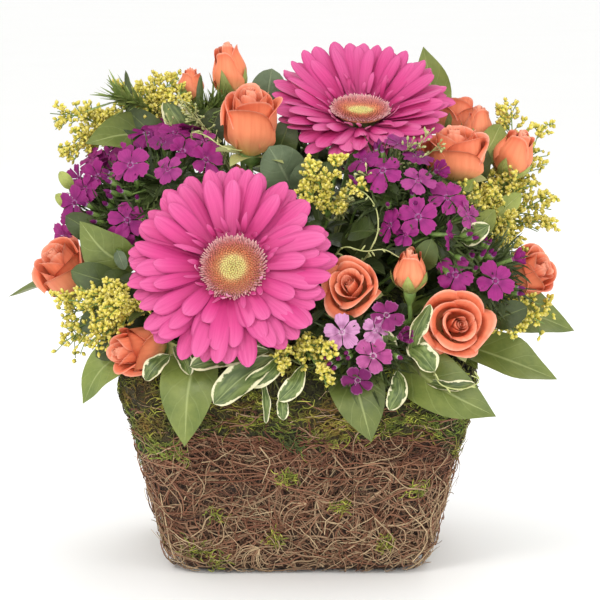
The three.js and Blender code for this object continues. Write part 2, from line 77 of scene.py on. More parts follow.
# Each spray's stalk and its blooms. A bloom has a name, the place of its base, its axis, radius and height.
ROSE_SPRAYS = {
    "upper_left": ([[-10, 6, 111], [-20, 2, 155], [-26, -4, 177]], [
        Bloom("upper_left_open", [-26, -37, 202], [0, -0.3, 0.95], 15.5, 33),
        Bloom("upper_left_bud", [-32, 2, 226], [-0.16, -0.04, 1], 9, 27),
        Bloom("upper_left_small", [-54, 8, 224], [0.05, -0.1, 1], 7, 16),
    ]),
    "left": ([[-28, -12, 115], [-58, -42, 129]], [
        Bloom("left_side", [-106, -36, 137], [-0.5, -0.45, 0.72], 13.5, 25),
        Bloom("left_low", [-64, -76, 114], [-0.8, -0.6, -0.03], 11, 27),
    ]),
    "centre": ([[14, -26, 111], [34, -54, 127]], [
        Bloom("centre_open", [28, -78, 140], [-0.15, -0.93, 0.33], 13.5, 21),
        Bloom("centre_bud", [52, -86, 142], [0, -0.25, 0.97], 8.5, 20),
        Bloom("right_open", [69, -77, 122], [0.1, -0.95, 0.28], 17, 23),
    ]),
    "right": ([[30, -6, 115], [62, -14, 129]], [
        Bloom("right_side", [103, -36, 139], [0.72, -0.5, 0.45], 11.5, 22),
    ]),
    "upper_right": ([[20, 2, 111], [58, -4, 155], [70, -8, 171]], [
        Bloom("upper_right_open", [77, -42, 191], [0.12, -0.5, 0.85], 15.5, 25),
        Bloom("upper_right_tall", [101, -22, 189], [0.35, -0.15, 0.92], 10, 24),
        Bloom("upper_right_bud", [91, -8, 206], [0.05, 0, 1], 7.5, 20),
        Bloom("upper_right_back", [77, 14, 207], [0.1, 0.15, 0.98], 9.5, 20),
    ]),
    "rear": ([[0, 20, 111], [2, 42, 141]], [
        Bloom("rear_right", [28, 82, 126], [0.2, 0.92, 0.34], 15, 21),
        Bloom("rear_left", [-36, 74, 165], [-0.2, 0.78, 0.6], 13, 22),
    ]),
}
# Each head's stalk, and the centre, axis and spread of its florets.
DIANTHUS = {
    "upper_left": ([[-22, -8, 111], [-42, -18, 155]], [-68, -47, 201], [-0.2, -0.52, 0.83], 25),
    "left": ([[-32, -2, 117], [-58, -18, 143]], [-96, -47, 179], [-0.6, -0.66, 0.45], 20),
    "upper_right": ([[16, -14, 111], [36, -34, 155]], [46, -74, 198], [0, -0.66, 0.75], 19),
    "right": ([[24, -22, 113], [44, -44, 137]], [64, -88, 171], [0.12, -0.93, 0.35], 20),
    "right_low": ([[30, -22, 115], [58, -42, 129]], [91, -80, 150], [0.42, -0.85, 0.32], 17),
    "front": ([[6, -34, 117], [22, -66, 121]], [31, -104, 117], [0.02, -0.99, 0.1], 17),
    "rear": ([[14, 24, 113], [14, 44, 155]], [4, 70, 195], [0.02, 0.7, 0.71], 24),
}
# Each spray's stalk, and the tips of its plumes.
GOLDENROD = {
    "upper_left": ([[-22, 4, 113], [-60, 6, 165], [-84, 6, 201]], [
        [-122, -10, 219], [-116, -14, 201], [-104, 0, 221], [-70, 4, 236], [-78, 12, 231], [-88, 2, 232],
        [-96, -6, 212], [-66, -4, 231], [-60, 0, 222], [-110, -12, 208], [-59, -8, 236], [-55, -10, 230],
        [-54, -8, 222], [-62, -10, 226], [-94, -4, 220],
    ]),
    "left": ([[-26, -30, 123], [-56, -56, 133], [-73, -74, 130]], [
        [-114, -50, 111], [-110, -56, 127], [-88, -84, 145], [-98, -80, 125], [-70, -90, 137],
        [-96, -78, 134], [-104, -70, 140], [-90, -84, 134], [-114, -62, 134], [-100, -78, 114],
        [-82, -88, 138],
    ]),
    "top": ([[2, -14, 111], [8, -40, 155], [14, -62, 173]], [
        [4, -74, 201], [18, -74, 203], [30, -76, 191], [0, -74, 189],
    ]),
    "right": ([[32, 4, 113], [74, -4, 145], [94, -10, 158]], [
        [124, -30, 181], [124, -26, 167], [106, -40, 193], [112, -10, 187], [104, 0, 217], [120, -4, 213],
        [96, -24, 191], [104, -14, 224], [84, -56, 180], [92, -50, 188], [98, -52, 172], [74, -62, 186],
        [88, -62, 160], [103, -54, 158],
    ]),
    "right_low": ([[34, -14, 119], [66, -34, 127], [84, -46, 130]], [
        [121, -42, 128], [118, -54, 121], [103, -76, 119],
    ]),
    "front": ([[-2, -34, 119], [-1, -70, 121], [0, -84, 117]], [
        [-10, -108, 109], [13, -106, 103], [14, -108, 117],
    ]),
    "rear": ([[-12, 26, 113], [-18, 50, 135], [-22, 60, 141]], [
        [-50, 94, 127], [-32, 99, 120], [-10, 98, 119], [-40, 92, 140], [-22, 96, 134],
    ]),
}
# Each branch's stalk, its first leaf's shade, and its leaves: each leaf's line, width, facing and breadth.
SALAL = {
    "front_left": ([[-26, -36, 117], [-41, -64, 119], [-46, -81, 116]], 0.5, [
        Leaf([[-46, -81, 116], [-51, -97, 98], [-53, -99, 70]], 27, [-0.1, -1, 0.2], 0.98),
    ]),
    "front_right": ([[14, -38, 115], [20, -64, 112], [22, -79, 110]], 0.05, [
        Leaf([[22, -79, 110], [28, -96, 94], [34, -98, 72]], 25, [0.1, -1, 0.2]),
    ]),
    "right_front": ([[26, -36, 115], [40, -64, 115], [46, -79, 111]], 0.35, [
        Leaf([[46, -79, 111], [66, -96, 97], [92, -98, 84]], 27, [0.1, -1, 0.5]),
    ]),
    "right_low": ([[37, -36, 119], [60, -50, 117], [75, -57, 113]], 0.45, [
        Leaf([[75, -57, 113], [100, -64, 105], [124, -60, 95]], 25, [0.2, -0.7, 0.8]),
    ]),
    "right": ([[38, -4, 115], [66, -18, 122], [84, -28, 123]], 0.6, [
        Leaf([[84, -28, 123], [112, -35, 123], [135, -30, 114]], 27, [0.2, -0.7, 0.7]),
        Leaf([[66, -18, 122], [88, 0, 116], [99, 12, 92]], 25, [0.9, 0.1, 0.4]),
        Leaf([[84, -28, 123], [104, 4, 130], [118, 32, 122]], 23, [0.5, 0.1, 0.8]),
        Leaf([[84, -28, 123], [96, 12, 150], [101, 34, 178]], 25, [0.9, 0.2, -0.3]),
        Leaf([[66, -18, 122], [80, 22, 126], [84, 52, 116]], 23, [0.6, 0.2, 0.7]),
    ]),
    "left_low": ([[-36, -32, 117], [-58, -54, 118], [-75, -66, 114]], 0.9, [
        Leaf([[-75, -66, 114], [-94, -70, 101], [-103, -65, 84]], 19, [-0.5, -0.8, 0.4]),
    ]),
    "left": ([[-34, -12, 117], [-64, -22, 127], [-90, -22, 135]], None, [
        Leaf([[-90, -22, 135], [-118, -18, 137], [-144, -10, 128]], 20, [0, -0.3, 1]),
        Leaf([[-64, -22, 127], [-88, 2, 116], [-99, 14, 92]], 25, [-0.9, 0.1, 0.4]),
        Leaf([[-90, -22, 135], [-104, 10, 138], [-117, 36, 128]], 23, [-0.5, 0.1, 0.8]),
        Leaf([[-90, -22, 135], [-97, 10, 158], [-101, 32, 184]], 25, [-0.9, 0.2, -0.3]),
        Leaf([[-64, -22, 127], [-78, 20, 127], [-84, 52, 116]], 23, [-0.6, 0.2, 0.7]),
    ]),
    "left_centre": ([[-20, -18, 119], [-54, -40, 135], [-76, -58, 147]], 0.35, [
        Leaf([[-76, -58, 147], [-92, -62, 157], [-104, -58, 171]], 22, [-0.4, -0.9, 0.1]),
    ]),
    "upper_left": ([[-16, 10, 113], [-44, 6, 172], [-60, 0, 203]], 0.3, [
        Leaf([[-60, 0, 203], [-83, -16, 209], [-103, -33, 206]], 19, [0.0, -0.82, 0.55], 1.3),
        Leaf([[-30, 8, 142], [-46, 32, 164], [-42, 50, 192]], 22, [0.1, 0.9, 0.4]),
    ]),
    "top": ([[12, 14, 113], [50, 26, 175], [62, 32, 205]], 0.6, [
        Leaf([[62, 32, 205], [67, 33, 227], [63, 31, 250]], 21, [0.2, -1, 0.1]),
        Leaf([[50, 26, 175], [38, 42, 196], [20, 46, 216]], 24, [-0.2, 1, 0.4]),
        Leaf([[31, 20, 144], [40, 44, 164], [50, 56, 188]], 22, [-0.1, 0.9, 0.4]),
    ]),
    "rear_right": ([[24, 30, 115], [46, 58, 135], [56, 70, 150]], None, [
        Leaf([[46, 58, 135], [58, 86, 120], [57, 99, 97], [54, 99, 74]], 28, [0.1, 1, 0.2]),
        Leaf([[56, 70, 150], [82, 70, 148], [106, 58, 136]], 26, [0.3, 0.8, 0.5]),
        Leaf([[56, 70, 150], [70, 66, 176], [80, 48, 200]], 26, [0.3, 0.9, 0.2]),
        Leaf([[56, 70, 150], [36, 86, 160], [12, 92, 154]], 24, [0.1, 0.8, 0.6]),
    ]),
    "rear_left": ([[-24, 30, 115], [-46, 56, 133], [-58, 66, 150]], None, [
        Leaf([[-46, 56, 133], [-56, 86, 120], [-59, 99, 98], [-62, 98, 75]], 28, [-0.1, 1, 0.2]),
        Leaf([[-58, 66, 150], [-83, 68, 148], [-107, 56, 134]], 26, [-0.3, 0.8, 0.5]),
        Leaf([[-58, 66, 150], [-70, 60, 176], [-78, 42, 200]], 26, [-0.3, 0.9, 0.2]),
        Leaf([[-58, 66, 150], [-34, 78, 146], [-10, 90, 141]], 24, [-0.1, 0.7, 0.7]),
    ]),
}
# Each sprig's stalk and its leaves: each leaf's foot, tip, width, facing, and how its middle bows.
PITTOSPORUM = {
    "front": ([[-8, -40, 119], [-16, -72, 118], [-19, -86, 113]], [
        ([-14, -98, 115], [-50, -107, 109], 12, (-0.1, -0.9, 0.45), (0, -3, 2)),
        ([-16, -92, 118], [-44, -101, 116], 10, (0.0, -0.7, 0.7), (0, -2, 3)),
        ([-11, -98, 112], [-39, -109, 92], 15, (-0.15, -1.0, 0.2), (-2, -4, 1)),
        ([-8, -98, 112], [-25, -107, 101], 9, (0.4, -0.9, 0.1), (2, -3, -1)),
        ([2, -98, 108], [-9, -107, 93], 9, (-0.4, -1.0, 0.1), (2, -2, 0)),
        ([-8, -102, 95], [-7, -107, 84], 6, (0.3, -1.0, 0.1), (0, -1, 0)),
        ([-17, -100, 103], [-15, -105, 82], 4.5, (0.5, -1.0, 0.0), (1, -2, 0)),
        ([-60, -92, 112], [-71, -98, 101], 9, (-0.3, -1.0, 0.3), (-1, -2, 1)),
        ([-58, -92, 116], [-50, -101, 104], 7, (0.2, -1.0, 0.3), (1, -2, 1)),
    ]),
    "right": ([[32, -36, 119], [42, -60, 119], [46, -76, 118]], [
        ([52, -94, 111], [61, -99, 137], 9.5, (0.75, -0.8, 0.0), (-2.5, -3, 0)),
        ([51, -94, 117], [63, -103, 106], 12, (0.1, -0.9, 0.5), (0, -3, 2)),
        ([46, -95, 105], [42, -103, 88], 9, (-0.2, -1.0, 0.1), (2.5, -3, 0)),
        ([58, -92, 100], [82, -100, 100], 6, (0.0, -0.6, 0.8), (0, -2, -2)),
        ([44, -90, 112], [40, -101, 125], 7, (0.2, -1.0, 0.2), (0, -2, 0)),
    ]),
}
# The fir twig's stalk, each shoot's tip, and the share of the way to the tip that the shoot goes.
FIR_STALK = [[-6, 14, 113], [-34, 22, 185], [-46, 22, 205]]
FIR_SHOOTS = [
    ([-92, -22, 229], 0.86), ([-62, 24, 232], 0.5), ([-44, -8, 222], 0.8), ([-48, -10, 216], 0.9),
    ([-38, -6, 224], 0.8),
]

# The basket's and the foam's own sizes, as in the CAD model.
BASKET_HEIGHT = 98.0
BOTTOM_HALF = 61.0
TOP_HALF = 84.0
FOOT = 9.0
MOSS_LOW = 68.0
FOAM_TOP = 133.0
FOAM_TOP_HALF = 48.0
FOAM_RIM_HALF = 58.0


# ---------------------------------------------------------------- vectors and curves


def unit(vectors):
    vectors = np.asarray(vectors, float)
    return vectors / np.maximum(np.linalg.norm(vectors, axis=-1, keepdims=True), 1e-9)


def curve_through(points, count):
    """count points, evenly spaced along a centripetal Catmull-Rom curve through points."""
    points = np.asarray(points, float)
    padded = np.vstack([2 * points[0] - points[1], points, 2 * points[-1] - points[-2]])
    fine = []
    for i in range(len(points) - 1):
        p0, p1, p2, p3 = padded[i : i + 4]
        t1 = np.linalg.norm(p1 - p0) ** 0.5
        t2 = t1 + np.linalg.norm(p2 - p1) ** 0.5
        t3 = t2 + np.linalg.norm(p3 - p2) ** 0.5
        t = np.linspace(t1, t2, 24, endpoint=False)[:, None]
        a1 = (t1 - t) / t1 * p0 + t / t1 * p1
        a2 = (t2 - t) / (t2 - t1) * p1 + (t - t1) / (t2 - t1) * p2
        a3 = (t3 - t) / (t3 - t2) * p2 + (t - t2) / (t3 - t2) * p3
        b1 = (t2 - t) / t2 * a1 + t / t2 * a2
        b2 = (t3 - t) / (t3 - t1) * a2 + (t - t1) / (t3 - t1) * a3
        fine.append((t2 - t) / (t2 - t1) * b1 + (t - t1) / (t2 - t1) * b2)
    fine = np.vstack([*fine, points[-1:]])
    steps = np.linalg.norm(np.diff(fine, axis=0), axis=1)
    travelled = np.concatenate([[0], np.cumsum(steps)])
    wanted = np.linspace(0, travelled[-1], count)
    return np.stack([np.interp(wanted, travelled, fine[:, k]) for k in range(3)], 1)


def directions(lines):
    """The unit direction of travel at each point of lines shaped (..., points, 3)."""
    return unit(np.gradient(lines, axis=-2))


def frame_about(axes):
    """Two unit vectors square to each of the unit axes and to each other."""
    helper = np.where(np.abs(axes[..., 2:]) < 0.9, UP, [0.0, -1.0, 0.0])
    side = unit(np.cross(helper, axes))
    return side, np.cross(axes, side)


def polar(distance, angle, level):
    """Points at a distance and an angle about an axis, and at a level along it."""
    parts = np.broadcast_arrays(distance * np.cos(angle), distance * np.sin(angle), level)
    return np.stack(parts, -1)


class Seat:
    """A centre with axes of its own: along a flower's face, up the face, and out of it."""

    def __init__(self, centre, axis):
        self.centre = np.asarray(centre, float)
        self.out = unit(axis)
        self.axes = np.stack([*frame_about(self.out), self.out])

    def turned(self, vectors):
        return np.asarray(vectors, float) @ self.axes

    def at(self, points):
        return self.centre + self.turned(points)


# ---------------------------------------------------------------- chance


def dice_for(name):
    """A random number generator of the name's own, the same on each run."""
    return np.random.default_rng([ord(letter) for letter in name])


def any_angle(dice, *shape):
    return dice.uniform(0, 6.28, shape or None)


def angles_round(dice, count, jitter, shift=0.0):
    """count angles evenly spaced round a turn, each moved by at most jitter of their spacing."""
    return 2 * np.pi * (np.arange(count) + shift + dice.uniform(-jitter, jitter, count)) / count


# ---------------------------------------------------------------- meshes


def grid_faces(rows, columns, closed):
    row = np.arange(rows - 1)[:, None]
    column = np.arange(columns if closed else columns - 1)[None]
    a = row * columns + column
    b = row * columns + (column + 1) % columns
    return np.stack([a, b, b + columns, a + columns], -1).reshape(-1, 4)


class Patch:
    """Surfaces gathered for one piece. Each point has a tone of four numbers from 0 to 1: chance, which is
    the same all over one leaf or petal, along, across, and depth."""

    def __init__(self):
        self.points, self.tones, self.faces, self.looks = [], [], [], []
        self.total = 0

    def add(self, points, tone, look=0, closed=False, flipped=False):
        """Surfaces shaped (surfaces, rows, columns, 3), or one without the first axis. Each of the tone's
        parts is a number or an array that fits the points. closed joins the last column to the first."""
        points = np.asarray(points, float)
        if points.ndim == 3:
            points = points[None]
        surfaces, rows, columns = points.shape[:3]
        faces = grid_faces(rows, columns, closed)
        if flipped:
            faces = faces[:, ::-1]
        starts = self.total + rows * columns * np.arange(surfaces)
        self.faces.append((faces[None] + starts[:, None, None]).reshape(-1, 4))
        self.looks.append(np.full(surfaces * len(faces), look))
        self.points.append(points.reshape(-1, 3))
        self.tones.append(np.stack([np.broadcast_to(part, points.shape[:3]).ravel() for part in tone], -1))
        self.total += surfaces * rows * columns

    def mesh(self, name, looks):
        points = np.concatenate(self.points) * MM
        faces = np.concatenate(self.faces).astype(np.int32)
        made = bpy.data.meshes.new(name)
        made.vertices.add(len(points))
        made.vertices.foreach_set("co", points.astype(np.float32).ravel())
        made.loops.add(faces.size)
        made.loops.foreach_set("vertex_index", faces.ravel())
        made.polygons.add(len(faces))
        made.polygons.foreach_set("loop_start", np.arange(0, faces.size, 4, dtype=np.int32))
        for item in looks:
            made.materials.append(item)
        made.polygons.foreach_set("material_index", np.concatenate(self.looks).astype(np.int32))
        made.update(calc_edges=True)
        made.validate()
        tones = made.attributes.new("tone", "FLOAT_COLOR", "POINT")
        tones.data.foreach_set("color", np.concatenate(self.tones).astype(np.float32).ravel())
        made.shade_smooth()
        return made


def piece(name, patch, looks, slot, *replaced):
    """A piece of the object that stands for the CAD nodes replaced."""
    made = bpy.data.objects.new(name, patch.mesh(name, looks))
    bpy.context.scene.collection.objects.link(made)
    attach(made, "root")
    if replaced:
        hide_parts(*replaced)


def each(values, count):
    """One value for each of count surfaces, shaped to fit their rows and columns."""
    return np.broadcast_to(values, (count,))[:, None, None]


def add_tubes(patch, lines, radii, chance, sides=6, depth=0.0, look=0):
    """Round strands along lines shaped (strands, points, 3), or one line. radii fits (strands, points)."""
    lines = np.asarray(lines, float)
    if lines.ndim == 2:
        lines = lines[None]
    strands, count = lines.shape[:2]
    radii = np.broadcast_to(radii, (strands, count))
    ahead = directions(lines)
    lift = unit(np.cross(ahead.mean(1), [0.31, 0.17, 0.93]) + 1e-3)
    side = unit(np.cross(ahead, lift[:, None]))
    up = np.cross(side, ahead)
    turn = np.arange(sides) / sides
    angle = 2 * np.pi * turn[:, None]
    ring = side[:, :, None] * np.cos(angle) + up[:, :, None] * np.sin(angle)
    points = lines[:, :, None] + ring * radii[:, :, None, None]
    along = np.linspace(0, 1, count)[:, None]
    patch.add(points, (each(chance, strands), along, turn, depth), look, closed=True)


def taper(count, start, end, power=2.0):
    share = np.linspace(0, 1, count)
    return start + (end - start) * share**power


def leaf_profile(share, base, tip):
    """A leaf's share of its full width along it, 0 at both ends."""
    shape = share**base * (1 - share) ** tip
    top = base / (base + tip)
    return shape / (top**base * (1 - top) ** tip)


def add_sheets(
    patch, lines, widths, facing, chance, profile, columns, bend=None, under=0.0, look=0, depth=0.0
):
    """Leaves or petals along lines shaped (sheets, rows, 3). profile is each row's share of the full width.
    bend(share, across) gives each point's rise in half widths, where across goes from -1 to 1. under is the
    thickness, and a sheet of its own covers the underside."""
    lines = np.asarray(lines, float)
    if lines.ndim == 2:
        lines = lines[None]
    sheets, rows = lines.shape[:2]
    facing = np.asarray(facing, float)
    facing = np.broadcast_to(facing[:, None] if facing.ndim == 2 else facing, lines.shape)
    ahead = directions(lines)
    side = unit(np.cross(ahead, facing))
    up = np.cross(side, ahead)[:, :, None]
    across = np.linspace(-1, 1, columns)
    share = np.linspace(0, 1, rows)[:, None]
    half = (0.5 * np.broadcast_to(widths, (sheets,))[:, None] * profile)[:, :, None, None]
    rise = np.broadcast_to(bend(share, across) if bend else 0.0, (sheets, rows, columns))
    top = lines[:, :, None] + (side[:, :, None] * across[:, None] + up * rise[..., None]) * half
    tone = (each(chance, sheets), share, 0.5 + 0.5 * across)
    patch.add(top, (*tone, depth), look)
    if under:
        thin = under * (1 - across**4) * np.clip(8 * share * (1 - share), 0, 1)
        patch.add(top - up * thin[..., None], (*tone, 1.0), look, flipped=True)


def waved(dice, sheets, cup=0.0, fold=0.0, wave=0.0, waves=2.5):
    """A bend for add_sheets: sides that rise as a bowl or a fold, and a wavy margin."""
    phase = dice.uniform(0, 2 * np.pi, (sheets, 1, 1))
    strength = dice.uniform(0.5, 1.5, (sheets, 1, 1))

    def bend(share, across):
        ripple = np.sin(2 * np.pi * waves * share + phase + 1.7 * np.sign(across))
        return strength * (cup * across**2 + fold * np.abs(across)) + wave * ripple * np.abs(across) ** 2

    return bend


def add_buds(patch, places, axes, lengths, radii, chance, outline, sides=5, depth=0.0, look=0):
    """Small closed shapes of revolution. outline is rows of (share along, share of the radius)."""
    axes = unit(axes)
    count = len(axes)
    side, up = (vectors[:, None, None] for vectors in frame_about(axes))
    along, reach = np.asarray(outline, float).T[..., None]
    turn = np.arange(sides) / sides
    angle = -2 * np.pi * turn[:, None]
    ring = side * np.cos(angle) + up * np.sin(angle)
    rise = axes[:, None, None] * (along * each(lengths, count))[..., None]
    points = np.asarray(places, float)[:, None, None] + rise + ring * (reach * each(radii, count))[..., None]
    patch.add(points, (each(chance, count), along, turn, each(depth, count)), look, closed=True)


# ---------------------------------------------------------------- materials


def colour(code):
    """A linear colour from a hexadecimal sRGB code."""
    parts = [int(code[i : i + 2], 16) / 255 for i in (1, 3, 5)]
    return (*[c / 12.92 if c <= 0.04045 else ((c + 0.055) / 1.055) ** 2.4 for c in parts], 1.0)


class Look:
    """A material built from the piece's tones and from noise."""

    def __init__(self, name, roughness=0.6, specular=0.5):
        self.material = bpy.data.materials.new(name)
        self.material.use_nodes = True
        self.tree = self.material.node_tree
        self.shader = self.tree.nodes["Principled BSDF"]
        self.shader.inputs["Roughness"].default_value = roughness
        self.shader.inputs["Specular IOR Level"].default_value = specular
        tone = self.tree.nodes.new("ShaderNodeAttribute")
        tone.attribute_name = "tone"
        self.depth = tone.outputs["Alpha"]
        split = self.node("ShaderNodeSeparateColor", {0: tone.outputs["Color"]}).node
        self.chance, self.along, self.across = split.outputs
        self.place = self.tree.nodes.new("ShaderNodeTexCoord").outputs["Object"]

    def node(self, kind, inputs, output=0, **settings):
        """The output of a new node. inputs are numbers, colours or other nodes' outputs."""
        made = self.tree.nodes.new(kind)
        for setting, value in settings.items():
            setattr(made, setting, value)
        for socket, value in inputs.items():
            if isinstance(value, bpy.types.NodeSocket):
                self.tree.links.new(value, made.inputs[socket])
            else:
                made.inputs[socket].default_value = value
        return made.outputs[output]

    def math(self, operation, a, b=0.5):
        return self.node("ShaderNodeMath", {0: a, 1: b}, operation=operation)

    def times(self, a, b):
        return self.math("MULTIPLY", a, b)

    def plus(self, a, b):
        return self.math("ADD", a, b)

    def minus(self, a, b):
        return self.math("SUBTRACT", a, b)

    def off_middle(self):
        """How far across from the midrib a point lies, from 0 to a half."""
        return self.math("ABSOLUTE", self.minus(self.across, 0.5))

    def noise(self, scale, detail=3.0, roughness=0.55, distortion=0.0, vector=None):
        inputs = {"Scale": scale, "Detail": detail, "Roughness": roughness, "Distortion": distortion}
        return self.node("ShaderNodeTexNoise", {"Vector": vector or self.place, **inputs})

    def streaks(self, lengthwise, crosswise, detail=2.0, apart=60.0):
        """Noise that runs along each leaf or petal and differs from one to the next."""
        place = self.node("ShaderNodeCombineXYZ", {
            0: self.times(self.along, lengthwise),
            1: self.times(self.across, crosswise),
            2: self.times(self.chance, apart),
        })
        return self.noise(1.0, detail, vector=place)

    def ramp(self, fac, stops):
        made = self.node("ShaderNodeValToRGB", {0: fac})
        band = made.node.color_ramp
        while len(band.elements) < len(stops):
            band.elements.new(0.5)
        for element, (position, code) in zip(band.elements, stops):
            element.position = position
            element.color = colour(code)
        return made

    def range(self, value, low, high, new_low=0.0, new_high=1.0):
        return self.node("ShaderNodeMapRange", {0: value, 1: low, 2: high, 3: new_low, 4: new_high})

    def mix(self, fac, a, b):
        a = colour(a) if isinstance(a, str) else a
        b = colour(b) if isinstance(b, str) else b
        return self.node("ShaderNodeMix", {0: fac, 6: a, 7: b}, 2, data_type="RGBA")

    def over(self, base, tint, value, low, high, share=1.0):
        """The tint laid over the base, up to its share, as value goes from low to high."""
        return self.mix(self.range(value, low, high, 0.0, share), base, tint)

    def tinted(self, colour_in, value, low, high):
        """The colour made darker or lighter by a value from 0 to 1."""
        level = self.range(value, 0.0, 1.0, low, high)
        return self.node("ShaderNodeHueSaturation", {"Value": level, "Color": colour_in})

    def rough(self, value, low, high):
        self.tree.links.new(self.range(value, 0.0, 1.0, low, high), self.shader.inputs["Roughness"])

    def done(self, colour_in, height=None, millimetres=0.25, strength=0.6):
        """The finished material, with its colour and its bumps."""
        self.tree.links.new(colour_in, self.shader.inputs["Base Color"])
        if height:
            inputs = {"Height": height, "Distance": millimetres * MM, "Strength": strength}
            self.tree.links.new(self.node("ShaderNodeBump", inputs), self.shader.inputs["Normal"])
        return self.material


def gerbera_petal_look():
    look = Look("gerbera_petal", roughness=0.55, specular=0.25)
    # Each petal darkens towards its base: partly its own deeper colour, partly painted shade near the disc,
    # where the rows overlap.
    tint = look.ramp(look.along, [(0.0, "#8c0e46"), (0.25, "#ae2264"), (0.55, "#c63a7c"), (1.0, "#d25e94")])
    fine = look.streaks(1.6, 9.0)
    tint = look.over(tint, "#d06a9c", look.chance, 0.0, 1.0, 0.35)
    tint = look.over(tint, "#a42064", fine, 0.35, 0.75, 0.35)
    # Painted shade: each petal darkens towards its edges, where its neighbours overlap it.
    tint = look.over(tint, "#921a5a", look.times(look.off_middle(), 2.0), 0.7, 1.0, 0.5)
    under = look.mix(0.7, tint, "#ecacc8")
    ridges = look.math("SINE", look.times(look.across, 26.0))
    look.rough(fine, 0.42, 0.62)
    both = look.mix(look.math("GREATER_THAN", look.depth, 0.5), tint, under)
    return look.done(both, look.plus(look.times(ridges, 0.2), look.streaks(2.0, 14.0)), 0.2, 0.5)


def gerbera_disc_look():
    look = Look("gerbera_disc", roughness=0.7)
    ring = look.ramp(look.depth, [
        (0.0, "#dad080"), (0.37, "#e4da90"), (0.45, "#deb07c"), (0.55, "#d8885e"), (0.72, "#cc766a"),
        (0.86, "#d28a8a"), (1.0, "#ecc6c2"),
    ])
    # Painted shade: each floret is darker towards its foot, down between the packed florets.
    ring_with_painted_shade = look.mix(look.range(look.along, 0.1, 0.9, 0.9, 0.0), ring, look.mix(0.5, ring, "#7c3a34"))
    return look.done(look.tinted(ring_with_painted_shade, look.chance, 0.84, 1.12), look.noise(900.0), 0.15, 0.5)


def rose_petal_look():
    look = Look("rose_petal", roughness=0.55, specular=0.25)
    outer = look.ramp(look.along, [
        (0.0, "#d8bc72"), (0.2, "#e8aa74"), (0.45, "#ea8e64"), (0.78, "#e8825a"), (0.94, "#e07250"),
        (1.0, "#f0ac92"),
    ])
    # The inner rings are brighter than the outer petals: partly the heart's own tone, partly painted light
    # that offsets the shade deep in the heart.
    heart_with_painted_light = look.ramp(look.along, [(0.0, "#f88a5a"), (0.5, "#fc9266"), (0.85, "#fca07a"), (1.0, "#fcbea2")])
    tint = look.over(heart_with_painted_light, outer, look.depth, 0.15, 0.7)
    tint = look.over(tint, "#ec9a7c", look.chance, 0.0, 1.0, 0.3)
    veins = look.streaks(1.2, 12.0)
    tint = look.over(tint, "#cc5838", veins, 0.42, 0.75, 0.35)
    spots = look.noise(160.0, 4.0)
    look.rough(veins, 0.4, 0.6)
    return look.done(look.tinted(tint, spots, 0.93, 1.06), look.plus(veins, look.times(spots, 0.6)), 0.3)


def dianthus_petal_look(name, dark, middle, pale, throat):
    """Petals from dark to pale by each floret's share, with a lighter throat and fine lines."""
    look = Look(name, roughness=0.6, specular=0.25)
    lines = look.streaks(1.0, 18.0)
    body = look.ramp(look.chance, [(0.1, dark), (0.55, middle), (0.95, pale)])
    tint = look.over(body, dark, lines, 0.35, 0.7, 0.3)
    ring = look.times(look.range(look.along, 0.18, 0.34), look.range(look.along, 0.6, 0.36))
    tint = look.mix(look.times(ring, 0.5), tint, dark)
    tint = look.over(tint, throat, look.along, 0.22, 0.1)
    tint = look.over(tint, pale, look.along, 0.9, 1.0, 0.3)
    return look.done(look.tinted(tint, look.noise(220.0), 0.85, 1.12), lines)


def goldenrod_look():
    look = Look("goldenrod_bud", roughness=0.7)
    body = look.ramp(look.along, [(0.0, "#a4a63c"), (0.3, "#ccc04a"), (0.65, "#dccc58"), (1.0, "#ece08c")])
    return look.done(look.tinted(body, look.chance, 0.84, 1.1), look.noise(1400.0, 2.0), 0.2)


def leaf_look(name, dark, light, vein, under, gloss, pairs, vein_strength):
    """A leaf with a pale midrib and side veins that run forward from it."""
    look = Look(name, roughness=gloss, specular=0.45)
    off_middle = look.off_middle()
    forward = look.minus(look.along, look.times(off_middle, 0.55))
    wander = look.times(look.streaks(4.0, 4.0), 0.06)
    wave = look.math("SINE", look.times(look.plus(forward, wander), pairs * 2 * math.pi))
    side = look.range(wave, 0.93, 1.0)
    midrib = look.range(off_middle, 0.012, 0.035, 1.0, 0.0)
    veins = look.times(look.math("MAXIMUM", look.times(side, vein_strength), midrib), 0.5)
    body = look.over(dark, light, look.noise(60.0, 5.0, 0.65), 0.35, 0.68)
    body = look.tinted(body, look.chance, 0.66, 1.14)
    top = look.mix(veins, body, vein)
    low = look.mix(veins, look.mix(0.55, body, under), vein)
    quilt = look.minus(look.times(side, -0.35), look.times(midrib, 0.8))
    look.rough(look.noise(300.0), gloss - 0.06, gloss + 0.2)
    both = look.over(top, low, look.depth, 0.4, 0.6)
    return look.done(both, look.plus(quilt, look.noise(500.0)), 0.25, 0.7)


def pittosporum_look():
    """A grey-green leaf with an uneven cream margin."""
    look = Look("pittosporum_leaf", roughness=0.42, specular=0.4)
    edge = look.times(look.off_middle(), 2.0)
    tip = look.times(look.math("POWER", look.along, 8.0), 0.3)
    drift = look.times(look.minus(look.streaks(7.0, 3.0, 3.0), 0.5), 0.9)
    green = look.over("#465826", "#76854a", look.streaks(4.0, 6.0), 0.4, 0.65)
    green = look.tinted(green, look.chance, 0.78, 1.12)
    cream = look.mix(look.noise(200.0), "#cfcb9c", "#e6e0c0")
    blend = look.over(green, cream, look.plus(look.plus(edge, drift), tip), 0.78, 0.86)
    midrib = look.range(edge, 0.02, 0.07, 1.0, 0.0)
    blend = look.mix(look.times(midrib, 0.4), blend, "#aab47c")
    return look.done(blend, look.minus(look.noise(500.0), midrib))


